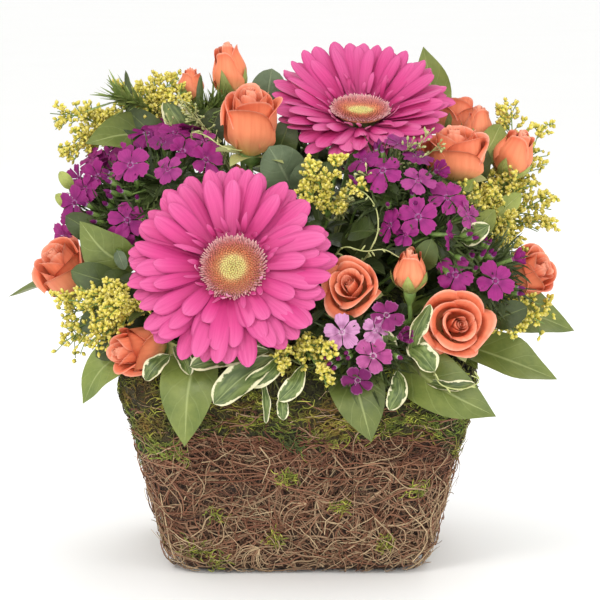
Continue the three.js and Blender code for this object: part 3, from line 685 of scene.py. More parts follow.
def stem_look(name, dark, light, bark="#6f6a3c"):
    look = Look(name, roughness=0.5)
    place = look.node("ShaderNodeMapping", {0: look.place, 3: (1.0, 1.0, 0.25)})
    grain = look.noise(260.0, vector=place)
    body = look.over(dark, light, grain, 0.35, 0.7)
    body = look.over(body, bark, look.noise(70.0), 0.55, 0.8, 0.5)
    return look.done(look.tinted(body, look.chance, 0.85, 1.15), grain)


def needle_look():
    look = Look("fir_needle", roughness=0.42)
    body = look.ramp(look.along, [(0.0, "#94a060"), (0.4, "#6c803e"), (1.0, "#8a9a56")])
    return look.done(look.tinted(body, look.chance, 0.75, 1.2), look.noise(900.0), 0.15, 0.5)


def vine_look():
    look = Look("vine", roughness=0.72, specular=0.3)
    bark = look.ramp(look.chance, [
        (0.0, "#281710"), (0.2, "#563427"), (0.4, "#80523c"), (0.56, "#946a51"), (0.7, "#9f8064"),
        (0.84, "#b09675"), (1.0, "#c4aa86"),
    ])
    fibre = look.streaks(24.0, 7.0, 4.0, 90.0)
    body = look.tinted(bark, fibre, 0.55, 1.35)
    body = look.over(body, "#9b8468", look.noise(90.0), 0.55, 0.8, 0.45)
    look.rough(fibre, 0.55, 0.85)
    height = look.plus(fibre, look.noise(1300.0, 2.0))
    # Painted shade: strands with a lower depth, which lie deeper in the wall or under the basket, are darker,
    # and the outermost ones lighter.
    return look.done(look.tinted(body, look.depth, 0.56, 1.18), height, 0.25, 0.8)


def vine_mat_look():
    """The tangle behind the outer vines: thin webs of strands, bent into curls by noise, over a near-black
    ground of painted shade deep between the vines.
    """
    look = Look("vine_mat", roughness=0.85)
    height = look.noise(160.0, 3.0, 0.6)
    fibres = look.noise(420.0, 5.0, 0.7, 1.5)
    body = look.ramp(fibres, [(0.32, "#140c08"), (0.5, "#2e1d14"), (0.7, "#4a3426")])
    for scale, shade in ((150.0, "#6b4a38"), (260.0, "#8a6a50")):
        shift = look.node("ShaderNodeTexNoise", {"Vector": look.place, "Scale": scale, "Detail": 2.0}, 1)
        shift = look.node("ShaderNodeVectorMath", {0: shift, 1: (0.5, 0.5, 0.5)}, operation="SUBTRACT")
        shift = look.node("ShaderNodeVectorMath", {0: shift, "Scale": 1.6 / scale}, operation="SCALE")
        bent = look.node("ShaderNodeVectorMath", {0: look.place, 1: shift}, operation="ADD")
        web = look.node("ShaderNodeTexVoronoi", {"Vector": bent, "Scale": scale}, feature="DISTANCE_TO_EDGE")
        strand = look.range(web, 0.05, 0.13, 1.0, 0.0)
        body = look.mix(look.times(strand, 0.6), body, shade)
        height = look.plus(height, strand)
    return look.done(body, height, 2.0, 1.0)


def moss_look():
    look = Look("moss", roughness=0.8)
    body = look.ramp(look.chance, [
        (0.0, "#1c1408"), (0.18, "#3a3010"), (0.36, "#4e4e18"), (0.58, "#6c7424"), (0.8, "#939b32"),
        (1.0, "#c0c054"),
    ])
    body = look.over(body, "#8a6428", look.noise(38.0), 0.5, 0.66, 0.6)
    body = look.over(body, "#5a7e34", look.noise(24.0, 2.0), 0.54, 0.66, 0.35)
    # Painted shade and light: each strand is darker at its foot, down in the moss, and lighter towards its
    # tip.
    return look.done(look.tinted(body, look.along, 0.6, 1.2), look.noise(900.0, 4.0), 0.4, 0.9)


def moss_mat_look():
    """The dense mass that the moss's strands stand on: its olive and brown are the moss's own, its near-black
    is painted shade deep among the strands.
    """
    look = Look("moss_mat", roughness=0.9)
    grain = look.noise(480.0, 6.0, 0.7, 1.0)
    body = look.ramp(grain, [(0.34, "#161208"), (0.48, "#2c2810"), (0.6, "#46481c"), (0.74, "#6a6e2c")])
    body = look.over(body, "#5c4a26", look.noise(38.0), 0.5, 0.7, 0.5)
    return look.done(body, grain, 2.5, 1.0)


def foam_look():
    look = Look("foam", roughness=0.9)
    cells = look.noise(900.0, 5.0, 0.7)
    body = look.over("#20401f", "#3c6238", look.noise(45.0, 4.0), 0.35, 0.65)
    return look.done(look.tinted(body, cells, 0.6, 1.2), cells, 1.2, 1.0)


def liner_look():
    look = Look("liner_film", roughness=0.35)
    creases = look.noise(60.0, 5.0, 0.6, 0.8)
    look.rough(creases, 0.25, 0.5)
    return look.done(look.mix(creases, "#1c2a1c", "#33422f"), creases, 1.5, 1.0)


def floor_look():
    look = Look("floor", roughness=0.7)
    return look.done(look.mix(look.noise(3.0), "#fafaf8", "#fdfdfc"))


GERBERA_PETAL = gerbera_petal_look()
GERBERA_DISC = gerbera_disc_look()
ROSE_PETAL = rose_petal_look()
DIANTHUS_PURPLE = dianthus_petal_look("dianthus_purple", "#671356", "#952172", "#a64886", "#a87ca8")
DIANTHUS_PALE = dianthus_petal_look("dianthus_pale", "#6a1454", "#a63a7c", "#c88eb8", "#e2ccdc")
GOLDENROD_BUD = goldenrod_look()
SALAL_LEAF = leaf_look(
    "salal_leaf", "#5f6f2e", "#808b42", "#a9b272", "#949b68", gloss=0.38, pairs=6.0, vein_strength=0.25
)
# The leaves deep among the stems and in the gaps between the flowers: darker than salal, partly their own
# deep green, partly painted shade.
DARK_LEAF = leaf_look(
    "dark_leaf", "#36441d", "#505e2c", "#78854e", "#5f6b42", gloss=0.42, pairs=5.0, vein_strength=0.15
)
BRACT = leaf_look(
    "bract", "#2c3818", "#56642e", "#7c8a4c", "#4f5b36", gloss=0.5, pairs=3.0, vein_strength=0.0
)
GREY_LEAF = leaf_look(
    "grey_leaf", "#57664a", "#6d7c5c", "#93a07c", "#7c8868", gloss=0.5, pairs=6.0, vein_strength=0.25
)
LIGHT_LEAF = leaf_look(
    "light_leaf", "#7c8a3c", "#a2aa58", "#b4ba78", "#98a062", gloss=0.5, pairs=6.0, vein_strength=0.2
)
SEPAL = leaf_look(
    "sepal", "#8c9848", "#b2b66e", "#c8c88c", "#a8ad74", gloss=0.5, pairs=12.0, vein_strength=0.1
)
PITTOSPORUM_LEAF = pittosporum_look()
GREEN_STEM = stem_look("green_stem", "#5c7a38", "#86a052")
TWIG = stem_look("twig", "#5d6b3a", "#7d7748", "#5a4428")
PALE_STEM = stem_look("pale_stem", "#a3ac66", "#c6c68c", "#9aa45a")
FIR_NEEDLE = needle_look()
VINE = vine_look()
VINE_MAT = vine_mat_look()
MOSS = moss_look()
MOSS_MAT = moss_mat_look()


# ---------------------------------------------------------------- stalks and leaves


def add_stalk(patch, points, radius, count, sides, end=0.8, look=0, chance=0.5):
    """A round stem along a curve through the points, thinner by end at its tip. Returns the curve."""
    line = curve_through(points, count)
    add_tubes(patch, line, radius * taper(count, 1.0, end, power=1.0), chance, sides=sides, look=look)
    return line


def add_leaf(patch, points, width, facing, dice, rows, look, base, tip, cup, wave, shade=None):
    """A broad leaf with a short petiole on the same line."""
    petiole = 0.06
    share = np.linspace(0, 1, rows)
    blade = leaf_profile(np.clip((share - petiole) / (1 - petiole), 0, 1), base, tip)
    blade = np.maximum(blade, petiole * (share < 0.5))
    bend = waved(dice, 1, cup=cup, fold=0.1, wave=wave, waves=2.2)
    chance = dice.random() if shade is None else shade
    facing = np.asarray(facing, float)
    add_sheets(
        patch, curve_through(points, rows), width, facing, chance, blade, columns=9, bend=bend, under=0.5,
        look=look,
    )


def add_side_leaves(patch, line, dice, count, length, width_share, look, reach, rise):
    """Smaller leaves that spring from a stalk, each on the side away from the middle of the arrangement."""
    starts = line[(dice.uniform(*reach, count) * (len(line) - 1)).astype(int)]
    away = unit(starts * [1.0, 1.0, 0.0])
    swing = dice.normal(0, 0.75, (count, 3)) * [1.0, 1.0, 0.55]
    heading = unit(away + swing + rise * UP)
    lengths = dice.uniform(*length, count)
    steps = np.linspace(0, 1, 7)
    share = steps[:, None]
    droop = -dice.uniform(0.1, 0.45, (count, 1, 1)) * UP
    lines = starts[:, None] + lengths[:, None, None] * (heading[:, None] * share + droop * share**2)
    facing = unit(UP + away * 0.5 + dice.normal(0, 0.35, (count, 3)))
    profile = np.maximum(leaf_profile(steps, 0.8, 0.85), 0.08 * (steps < 0.3))
    bend = waved(dice, count, cup=0.1, fold=0.16, wave=0.05)
    add_sheets(
        patch, lines, lengths * width_share, facing, dice.random(count), profile, columns=5, bend=bend,
        under=0.4, look=look,
    )


# ---------------------------------------------------------------- gerberas

# The rows of ray petals from the lowest up: how many, their reach as a share of the flower's, their lift off
# its face, how much more they cup than the flower, and how far the row is turned, in petals.
PETAL_ROWS = [
    (25, 0.985, -1.4, -0.03, 0.0), (25, 0.965, -0.3, 0.01, 0.5), (22, 0.93, 0.8, 0.045, 0.25),
    (14, 0.82, 1.9, 0.09, 0.1),
]
PETAL_START = 0.22
DISC_EDGE = 0.33


def gerbera_petals(name, form):
    """Overlapping rows of ray petals, with short narrow ones that stand round the disc."""
    patch = Patch()
    seat = Seat(np.add(form.centre, form.petal_shift), form.axis)
    full = 0.98 * form.radius
    disc = DISC_EDGE * form.radius
    share = 1 - (1 - np.linspace(0, 1, 12)) ** 1.35
    tip = np.clip((share - 0.74) / 0.26, 0, 1)
    blade = 0.4 + 0.6 * np.sin(np.clip(share / 0.72, 0, 1) * np.pi / 2)
    blade = blade * np.sqrt(np.maximum(1 - tip**form.petal_tip, 0.02))
    for row, width, (petals, reach, lift, steep, turned) in zip("abcd", form.petal_widths, PETAL_ROWS):
        dice = dice_for(name + row)
        angle = 2 * np.pi * (np.arange(petals) + turned + dice.normal(0, 0.13, petals)) / petals
        lower = 0.5 - 0.5 * np.sin(angle)
        length = full * (reach - PETAL_START) * (1 + dice.normal(0, 0.035, petals))
        length = length * (1 - lower * max(0.0, steep) * 3.2)
        rho = full * PETAL_START + length[:, None] * share
        outward = np.clip((rho - disc) / (form.radius - disc), -0.2, 1.1)
        cup = form.cup + steep + dice.normal(0, 0.035, petals)[:, None]
        droop = form.droop + dice.normal(0, 0.045, petals)[:, None]
        height = lift + form.radius * (cup * outward - droop * outward**2)
        turn = angle[:, None] + dice.normal(0, 0.05, petals)[:, None] * share**2
        facing = seat.out + dice.normal(0, 0.16, (petals, 3))
        arch = dice.normal(-0.1, 0.16, (petals, 1, 1))

        def bend(along, across):
            groove = 0.03 * np.cos(across * 2.6 * np.pi)
            return arch * across**2 * np.minimum(1, 3 * along) + groove

        lines = seat.at(polar(rho, turn, height))
        widths = full * width * (1 + dice.normal(0, 0.07, petals))
        add_sheets(patch, lines, widths, facing, dice.random(petals), blade, columns=8, bend=bend, under=0.25)
    add_quills(patch, name, form)
    return patch


def add_quills(patch, name, form):
    """Short narrow petals that stand round the disc, some curled inwards."""
    count = 26
    dice = dice_for(name + "quills")
    seat = Seat(form.centre, form.axis)
    angle = angles_round(dice, count, jitter=0.35)
    share = np.linspace(0, 1, 9)
    length = form.radius * dice.uniform(0.13, 0.3, count)[:, None]
    lean = dice.uniform(0.25, 1.1, count)[:, None]
    curl = dice.uniform(-0.5, 0.9, count)[:, None]
    rho = DISC_EDGE * form.radius * 0.93 + length * (np.sin(lean) * share - 0.35 * curl * share**3)
    height = 2.0 + length * np.cos(lean) * share * (1 - 0.25 * share)
    turn = angle[:, None] + dice.normal(0, 0.12, count)[:, None] * share
    bend = waved(dice, count, cup=0.35)
    tip = np.clip((share - 0.7) / 0.3, 0, 1)
    blade = (0.6 + 0.4 * np.sin(share * np.pi)) * np.sqrt(np.maximum(1 - tip**2, 0.03))
    widths = dice.uniform(1.5, 3.2, count)
    lines, inward = seat.at(polar(rho, turn, height)), seat.turned(polar(-1.0, angle, 0.6))
    add_sheets(patch, lines, widths, inward, dice.random(count), blade, columns=5, bend=bend, under=0.2)


def gerbera_disc(name, form):
    """Tiny florets packed in spirals on a low dome, with pale spikes at its edge."""
    patch = Patch()
    dice = dice_for(name + "disc")
    seat = Seat(np.add(form.centre, form.disc_shift), form.disc_axis)
    low = form.disc_height
    disc = form.radius * form.disc_share
    dome = [[0.2, 0.0], [0.2, 0.9], [2.6, 0.98], [4.2, 0.86], [5.0, 0.6], [4.6, 0.3], [3.9, 0.02]]
    dome = np.multiply(dome, [low, 1.0])
    add_buds(patch, [seat.centre], [seat.out], 1.0, disc, 0.2, dome, sides=32, depth=0.5)

    florets = 620
    k = np.arange(florets)
    share = np.sqrt((k + 0.5) / florets)
    surface = np.interp(share, [0, 0.3, 0.6, 0.86, 1.0], [4.4, 4.5, 4.6, 3.9, 2.6]) * low
    lean = np.interp(share, [0, 0.4, 0.75, 1.0], [-0.05, 0.05, 0.5, 1.15])
    axes = polar(lean, k * GOLDEN_ANGLE, 1.0) + dice.normal(0, 0.06, (florets, 3))
    spread = np.interp(share, [0, 0.42, 0.52, 1.0], [0.05, 0.06, 0.18, 0.2])
    length = np.interp(share, [0, 0.42, 0.5, 0.75, 1.0], [1.2, 1.3, 2.1, 2.6, 2.5])
    length = length * (1 + dice.uniform(-1, 1, florets) * spread)
    girth = np.interp(share, [0, 0.4, 0.6, 1.0], [0.5, 0.54, 0.46, 0.36])
    x, y, _ = polar(share, k * GOLDEN_ANGLE, 0.0).T
    inner = np.hypot(x, y + form.button * (1 - share**2))
    feet = seat.at(polar(share * disc, k * GOLDEN_ANGLE, surface))
    floret = [[0, 0.75], [0.75, 1.0], [1.0, 0.3]]
    axes = seat.turned(axes)
    add_buds(patch, feet, axes, length, girth, dice.random(florets), floret, sides=5, depth=inner)

    spikes = 130
    turn = angles_round(dice, spikes, jitter=0.4)[:, None]
    along = np.linspace(0, 1, 5)
    reach = dice.uniform(1.4, 3.4, (spikes, 1))
    start = disc * dice.uniform(0.76, 0.95, (spikes, 1))
    tall = low * dice.uniform(2.6, 4.6, (spikes, 1))
    twist = turn + dice.normal(0, 0.06, (spikes, 1)) * along
    level = 2.4 * low + tall * along * (1.25 - 0.35 * along)
    lines = seat.at(polar(start + reach * along**1.3, twist, level))
    add_tubes(patch, lines, 0.42 * taper(5, 1.0, 0.3), dice.random(spikes), sides=4, depth=0.93)
    return patch


def gerbera_stem(name, form):
    """The stalk, with two rows of narrow green bracts under the flower."""
    patch = Patch()
    dice = dice_for(name + "stem")
    seat = Seat(form.centre, form.axis)
    back = seat.at([0, 0, -9])
    add_stalk(patch, [*form.stalk, back], 3.0, count=40, sides=12)
    bowl = [[-3, 2.4], [-1.5, 5.0], [1.5, 9.0], [4.5, 12.5], [6.2, 13.4], [6.6, 11.0]]
    add_buds(patch, [back], [seat.out], 1.0, 1.0, 0.5, bowl, sides=24)
    share = np.linspace(0, 1, 7)
    profile = leaf_profile(0.08 + 0.9 * share, 0.35, 0.8)
    for row, (count, start, lift, length) in enumerate([(22, 4.0, -1.6, 13.0), (24, 6.5, 0.4, 14.0)]):
        angle = angles_round(dice, count, jitter=0.2, shift=0.5 * row)
        rho = start + length * share * np.interp(share, [0, 1], [0.72, 0.95])
        rho = rho * dice.uniform(0.93, 1.05, (count, 1))
        lines = seat.at(polar(rho, angle[:, None], lift - 9.6 + 9.0 * share**0.8))
        facing = seat.turned(polar(1.0, angle, -1.0))
        chance = dice.random(count)
        bend = waved(dice, count, fold=-0.3)
        add_sheets(patch, lines, 3.4, facing, chance, profile, columns=5, bend=bend, under=0.3, look=1)
    return patch


for name, form in GERBERAS.items():
    piece(f"{name}_petals", gerbera_petals(name, form), [GERBERA_PETAL], "gerbera_petal", f"{name}_rays")
    piece(f"{name}_florets", gerbera_disc(name, form), [GERBERA_DISC], "gerbera_disc", f"{name}_disc")
    piece(f"{name}_stalk", gerbera_stem(name, form), [GREEN_STEM, SEPAL], "flower_stem", f"{name}_stem")


# ---------------------------------------------------------------- roses

# Rings of a rose's petals from the heart outwards: how many, their distance from the axis, their height, half
# the angle that each covers, the width of their mouth, and the reach and the drop of their lip. Distances are
# shares of the bloom's radius, and heights are shares of its height.
OPEN_RINGS = [
    (2, 0.25, 1.03, 1.75, 0.84, 0.05, 0.0),
    (3, 0.42, 1.02, 1.4, 0.98, 0.12, 0.03),
    (3, 0.62, 0.97, 1.32, 1.06, 0.18, 0.08),
    (5, 0.85, 0.84, 0.94, 1.1, 0.2, 0.12),
]
SHUT_RINGS = [
    (2, 0.24, 0.98, 1.75, 0.75, 0.03, 0.0),
    (3, 0.41, 0.99, 1.4, 0.82, 0.06, 0.02),
    (3, 0.6, 0.99, 1.35, 0.88, 0.1, 0.04),
    (3, 0.79, 0.96, 1.38, 0.94, 0.15, 0.07),
    (3, 0.95, 0.86, 1.25, 0.98, 0.19, 0.1),
]
BUD_RINGS = [
    (2, 0.3, 0.99, 1.75, 0.3, 0.02, 0.0),
    (3, 0.56, 1.0, 1.45, 0.36, 0.02, 0.0),
    (3, 0.8, 0.99, 1.4, 0.46, 0.04, 0.01),
    (3, 0.97, 0.92, 1.3, 0.6, 0.07, 0.03),
]
WIDE_OPEN = ("centre_open", "right_open", "rear_right", "rear_left")
BUD_RADIUS = 10.5
# The size, shift and axis of the blooms whose petals differ from the CAD model's plain cups.
NO_TRIM = (1.0, (0.0, 0.0, 0.0), None)
BLOOM_TRIM = {
    "right_open": (0.88, (2.6, 0.0, 0.5), None),
    "centre_open": (0.92, (-1.6, 0.0, -0.8), None),
    "upper_left_open": (0.93, (3.0, 0.0, 0.0), None),
    "upper_right_open": (0.97, (-1.0, 0.0, -1.0), (-0.04, -0.24, 0.96)),
    "upper_right_back": (1.2, (1.5, -1.5, -2.0), None),
    "upper_right_bud": (1.12, (-3.0, -1.0, -3.5), None),
}


def rose_bloom(bloom):
    """Rings of broad cupped petals round a rolled heart. Each petal's left edge lies inside its neighbour."""
    patch = Patch()
    dice = dice_for("rose_" + bloom.name)
    size, shift, axis = BLOOM_TRIM.get(bloom.name, NO_TRIM)
    seat = Seat(np.add(bloom.base, shift), axis or bloom.axis)
    radius, tallest = 0.97 * size * bloom.radius, bloom.height
    rings = SHUT_RINGS if radius >= BUD_RADIUS else BUD_RINGS
    if bloom.name in WIDE_OPEN:
        rings = OPEN_RINGS
    along = np.linspace(0, 1, 13)[:, None]
    across = np.linspace(-1, 1, 13)
    turned = any_angle(dice)
    lean = unit(dice.normal(0, 1, 2)) * (0.16 if rings is OPEN_RINGS else 0.08) * radius
    oval = any_angle(dice, 2)

    def settle(distance, angle, level, share):
        """Points from cylinder coordinates, with the heart pushed a little to one side."""
        push = (1 - share) * np.clip(level / tallest, 0, 1) ** 2
        distance = distance * (1 + 0.05 * np.sin(2 * angle + oval[0]) + 0.03 * np.sin(3 * angle + oval[1]))
        points = polar(distance, angle, level)
        points[..., :2] += push[..., None] * lean
        return seat.at(points)

    broad = 0.55 + 0.45 * np.sin(0.5 * np.pi * np.clip(along / 0.5, 0, 1))
    narrowed = 1 - 0.1 * np.clip(along - 0.8, 0, 1) / 0.2 * np.abs(across)
    belly = 0.34 + 0.66 * np.sin(0.5 * np.pi * np.clip(along / 0.52, 0, 1))
    upper = np.clip((along - 0.5) / 0.5, 0, 1)
    lip = np.clip((along - 0.76) / 0.24, 0, 1) ** 2
    for ring, (count, reach, tall, spread, mouth, lip_reach, lip_drop) in enumerate(rings):
        share = ring / (len(rings) - 1)
        turn = turned + ring * 1.31 + 2 * np.pi * np.arange(count) / count + dice.normal(0, 0.1, count)
        angle = turn[:, None, None] + across * spread * broad * narrowed
        size = radius * reach * (1 + dice.normal(0, 0.015, (count, 1, 1)))
        rise = tallest * tall * (1 + dice.normal(0, 0.03, (count, 1, 1)))
        rolled = dice.uniform(0.7, 1.35, (count, 1, 1))
        ripple = any_angle(dice, count, 1, 1)
        opening = 1 + (mouth - 1) * upper**2 * (3 - 2 * upper)
        wavy = 1 + 0.35 * np.sin(3.2 * across + ripple)
        distance = size * (belly * opening + 0.075 * across * broad)
        distance = distance + lip * rolled * radius * (lip_reach * wavy * (1 - 0.45 * across**4))
        crest = 1 - 0.14 * across**2 - 0.24 * across**4 + 0.02 * np.sin(4 * across + ripple)
        level = rise * along * crest - lip_drop * tallest * lip * rolled * (0.75 + 0.5 * across**2)
        tone = (each(dice.random(count), count), along, 0.5 + 0.5 * across, share)
        patch.add(settle(distance, angle, level, share), tone, flipped=True)

    # The heart is one sheet rolled two and a half times.
    roll = np.linspace(0, 1, 46)
    up = np.linspace(0, 1, 6)[:, None]
    distance = radius * (0.035 + 0.15 * roll) * (1 + 0.18 * up**3)
    level = tallest * (0.45 + (0.57 - 0.03 * roll + 0.012 * np.sin(9 * roll * np.pi)) * up)
    patch.add(settle(distance, turned + 5 * np.pi * roll, level, 0.0), (0.5, 0.35 + 0.65 * up, roll, 0.0))
    return patch


def rose_stems(name, stalk, blooms):
    """The spray's stalk and branches, each bloom's green cup and sepals, and the leaves on the stalk."""
    patch = Patch()
    dice = dice_for("rose stems " + name)
    line = add_stalk(patch, stalk, 1.8, count=30, sides=10, end=0.85)
    sepals = 5
    share = np.linspace(0, 1, 9)
    profile = leaf_profile(0.12 + 0.88 * share, 0.5, 1.0)
    for bloom in blooms:
        seat = Seat(np.add(bloom.base, BLOOM_TRIM.get(bloom.name, NO_TRIM)[1]), bloom.axis)
        below = seat.at([0, 0, -7])
        branch = add_stalk(patch, [stalk[-1], seat.at([0, 0, -16]), below], 1.25, count=20, sides=8, end=0.9)
        hip = 0.34 * bloom.radius
        cup = [[-1.5, 0.9], [0, 1.4], [3, hip * 0.92], [5.5, hip * 1.05], [7.5, hip * 0.8]]
        add_buds(patch, [below], [seat.out], 1.0, 1.0, 0.5, cup, sides=12)
        angle = angles_round(dice, sepals, jitter=0.15)
        length = bloom.height * dice.uniform(0.5, 0.72, (sepals, 1))
        curl = dice.uniform(0.2, 0.9, (sepals, 1))
        if bloom.radius < 11:
            # The sepals of a bud hug it, and those of an open bloom hang away from it.
            swell = np.sin(np.clip(share * 1.4, 0, 1) * np.pi / 2)
            rho = hip + (bloom.radius * 1.06 - hip) * swell + 1.2 * curl * share**3
            level = length * share - 1.0
        else:
            rho = hip + 0.85 * length * (0.9 * share)
            level = -0.8 + 0.85 * length * share * (0.35 - 0.75 * curl * share)
        lines = seat.at(polar(rho, angle[:, None], level))
        outward = seat.turned(polar(1.0, angle, -0.5))
        bend = waved(dice, sepals, cup=-0.3)
        width = 0.5 * bloom.radius + 1.6
        add_sheets(
            patch, lines, width, outward, dice.random(sepals), profile, columns=5, bend=bend, under=0.3,
            look=1,
        )
        add_side_leaves(
            patch, branch, dice, count=2, length=(9, 15), width_share=0.42, look=2, reach=(0.05, 0.5),
            rise=0.5,
        )
    add_side_leaves(
        patch, line, dice, count=10, length=(20, 32), width_share=0.5, look=2, reach=(0.25, 0.95), rise=0.35
    )
    return patch


for name, (stalk, blooms) in ROSE_SPRAYS.items():
    looks = [GREEN_STEM, SEPAL, DARK_LEAF]
    piece(f"rose_spray_{name}", rose_stems(name, stalk, blooms), looks, "flower_stem", f"rose_stems_{name}")
    for bloom in blooms:
        label = f"rose_{bloom.name}"
        piece(f"{label}_petals", rose_bloom(bloom), [ROSE_PETAL], "rose_petal", label)


# ---------------------------------------------------------------- dianthus

# Each open floret's place across and up its head, its radius, the way it faces, and its share of the colour
# range from dark to pale. The rear head's florets stand in a spiral instead.
FLORETS = {
    "upper_left": [
        (-11.3, -6.5, 10.2, (-0.1, -0.9, 0.45), 0.6), (-16.5, 26, 11.2, (-0.15, -0.55, 0.9), 0.4),
        (-8, 32, 10.4, (0.1, -0.5, 0.85), 0.65), (10.5, 7, 9.6, (0.15, -0.7, 0.7), 0.5),
        (9, -8, 8.6, (-0.3, -0.85, 0.45), 0.7), (15, 22, 9.0, (0.2, -0.6, 0.8), 0.8),
        (22, 6, 9.0, (0.4, -0.8, 0.4), 0.6), (-1, 12, 8.4, (0.0, -0.3, 1.0), 0.3),
        (1, 22, 9.0, (0.1, -0.55, 0.85), 0.45), (6, 31, 8.6, (0.1, 0.35, 0.95), 0.5),
        (-23, 8, 8.6, (-0.5, -0.7, 0.5), 0.5),
    ],
    "left": [
        (-10, 14, 9.4, (-0.5, -0.8, 0.4), 0.5), (-27, 14, 9.0, (-0.75, -0.6, 0.3), 0.4),
        (-17, -1, 9.8, (-0.6, -0.8, 0.0), 0.35), (-21, -10, 8.8, (-0.6, -0.75, -0.2), 0.55),
        (-24, -16, 7.8, (-0.7, -0.6, -0.4), 0.6), (18, -6, 9.2, (0.1, -0.9, 0.5), 0.6),
        (17, -15, 7.8, (0.0, -1.0, -0.3), 0.5), (-15.5, 27, 8.8, (-0.5, -0.6, 0.6), 0.5),
        (-12, 6, 8.4, (-0.6, -0.75, 0.3), 0.45), (-24, 24, 8.4, (-0.6, -0.3, 0.8), 0.7),
        (4, 19, 8.0, (-0.5, -0.5, 0.8), 0.7), (-30, 6, 8.6, (-0.9, -0.2, 0.1), 0.5),
        (-14, 20, 8.0, (-0.8, 0.3, 0.6), 0.5),
    ],
    "upper_right": [
        (-6.4, -1.5, 10.6, (-0.1, -0.75, 0.65), 0.6), (-15, 8, 8.4, (-0.4, -0.5, 0.8), 0.4),
        (10, 9, 8.8, (0.3, -0.3, 1.0), 0.2), (9.8, -8, 8.8, (0.1, -0.6, 0.8), 0.85),
        (2, 18, 8.4, (0.0, -0.2, 1.0), 0.35), (18, 0, 8.0, (0.7, -0.6, 0.4), 0.45),
    ],
    "right": [
        (6.5, 15, 9.8, (0.1, -0.8, 0.6), 0.65), (15.5, 7, 8.2, (0.7, -0.6, 0.5), 0.85),
        (-8, 5.5, 10.2, (-0.05, -0.95, 0.3), 0.6), (-20, 3, 8.8, (-0.9, -0.55, 0.2), 0.5),
        (5, -3, 7.8, (0.9, -0.4, 0.1), 0.4), (-14, -2.5, 7.0, (-0.5, -0.7, 0.6), 0.4),
    ],
    "right_low": [
        (-18, 0, 9.6, (0.05, -1.0, 0.2), 0.6), (0.5, -5, 10.2, (0.05, -0.95, 0.35), 0.6),
        (12, 5, 7.6, (0.9, -0.3, 0.4), 0.5),
    ],
    "front": [
        (-10.8, 7.5, 9.0, (-0.2, -0.95, 0.2), 0.95), (9.6, 15, 8.6, (0.2, -0.8, 0.5), 0.2),
        (4, 8.5, 7.6, (0.35, -0.9, 0.05), 0.9), (3.4, -3.4, 9.4, (0.0, -1.0, 0.15), 0.6),
        (-3.4, -14.5, 7.8, (-0.1, -0.9, -0.3), 0.08), (15, 5, 7.2, (0.6, -0.75, 0.3), 0.15),
    ],
}
SPIRAL_COUNT = 9
SPIRAL_START = 0.4
# How fast a head falls away from its middle, per square millimetre.
HEAD_FALL = 0.011


def inside_a_bloom(points):
    """Which points lie inside or just off a rose's bloom."""
    inside = np.zeros(len(points), bool)
    for _, blooms in ROSE_SPRAYS.values():
        for bloom in blooms:
            away = points - np.asarray(bloom.base, float)
            rise = away @ unit(bloom.axis)
            reach = np.sqrt(np.maximum((away**2).sum(1) - rise**2, 0))
            inside |= (rise > -4) & (rise < bloom.height + 8) & (reach < 1.15 * bloom.radius + 3)
    return inside


def florets_of(name, seat, spread, dice):
    """Each floret's place on the head's face, its radius, its facing and its share of the colour range."""
    if name in FLORETS:
        x, y, radii, faces, shade = zip(*FLORETS[name])
        return np.array([x, y], float).T, np.array(radii), unit(faces), np.array(shade)
    k = np.arange(SPIRAL_COUNT)
    reach = spread * np.sqrt((k + 0.35) / SPIRAL_COUNT)
    flat = polar(reach, SPIRAL_START + k * GOLDEN_ANGLE, 0.0)
    radii = dice.uniform(8.4, 10.0, SPIRAL_COUNT)
    faces = unit(seat.out + seat.turned(flat + 20 * UP) * 0.02)
    return flat[:, :2], radii, faces, dice.uniform(0.2, 0.8, SPIRAL_COUNT)


def add_florets(patch, dice, places, faces, radii, shade):
    """Five petals a floret, each a fan with teeth along its outer edge. Some florets are half shut."""
    count, columns = len(places), 11
    petals = 5 * count
    owner = np.repeat(np.arange(count), 5)
    side, up = (vectors[owner][:, None, None] for vectors in frame_about(faces))
    along = np.linspace(0.06, 1, 8)[:, None]
    across = np.linspace(-1, 1, columns)
    start = any_angle(dice, count)[owner] + np.tile(np.arange(5) * 2 * np.pi / 5, count)
    middle = (start + dice.normal(0, 0.07, petals))[:, None, None]
    size = each(radii[owner], petals) * dice.uniform(0.9, 1.08, (petals, 1, 1))
    teeth = 1 + (0.03 * (-1.0) ** np.arange(columns) + dice.normal(0, 0.018, (petals, 1, columns))) * along**6
    turn = middle + 0.6 * across * (0.88 + 0.12 * along)
    distance = size * along * teeth * (1 - 0.05 * across**2 * along - 0.3 * np.abs(across) ** 5 * along)
    folded = np.where(dice.random(count) < 0.2, dice.uniform(0.3, 0.7, count), 0.0)
    folded = each(folded[owner], petals)
    droop = each(dice.uniform(0.0, 0.3, count)[owner], petals) * dice.uniform(0.4, 1.6, (petals, 1, 1))
    frill = 0.5 * np.sin(5 * across + any_angle(dice, petals, 1, 1)) * along**2
    tilt = dice.uniform(-0.5, 0.5, (petals, 1, 1)) * across * along
    height = 1.4 * along**0.5 - droop * size * along**2 + frill + tilt + 0.35 * (1 - along) * np.abs(across)
    height = height + folded * size * along * 1.1
    distance = distance * (1 - 0.6 * folded * along)
    spoke = np.cos(turn)[..., None] * side + np.sin(turn)[..., None] * up
    centre, out = places[owner][:, None, None], faces[owner][:, None, None]
    chance = each(shade[owner] * 0.92 + 0.08 * dice.random(petals), petals)
    points = centre + distance[..., None] * spoke + height[..., None] * out
    patch.add(points, (chance, along, 0.5 + 0.5 * across, 0.0))


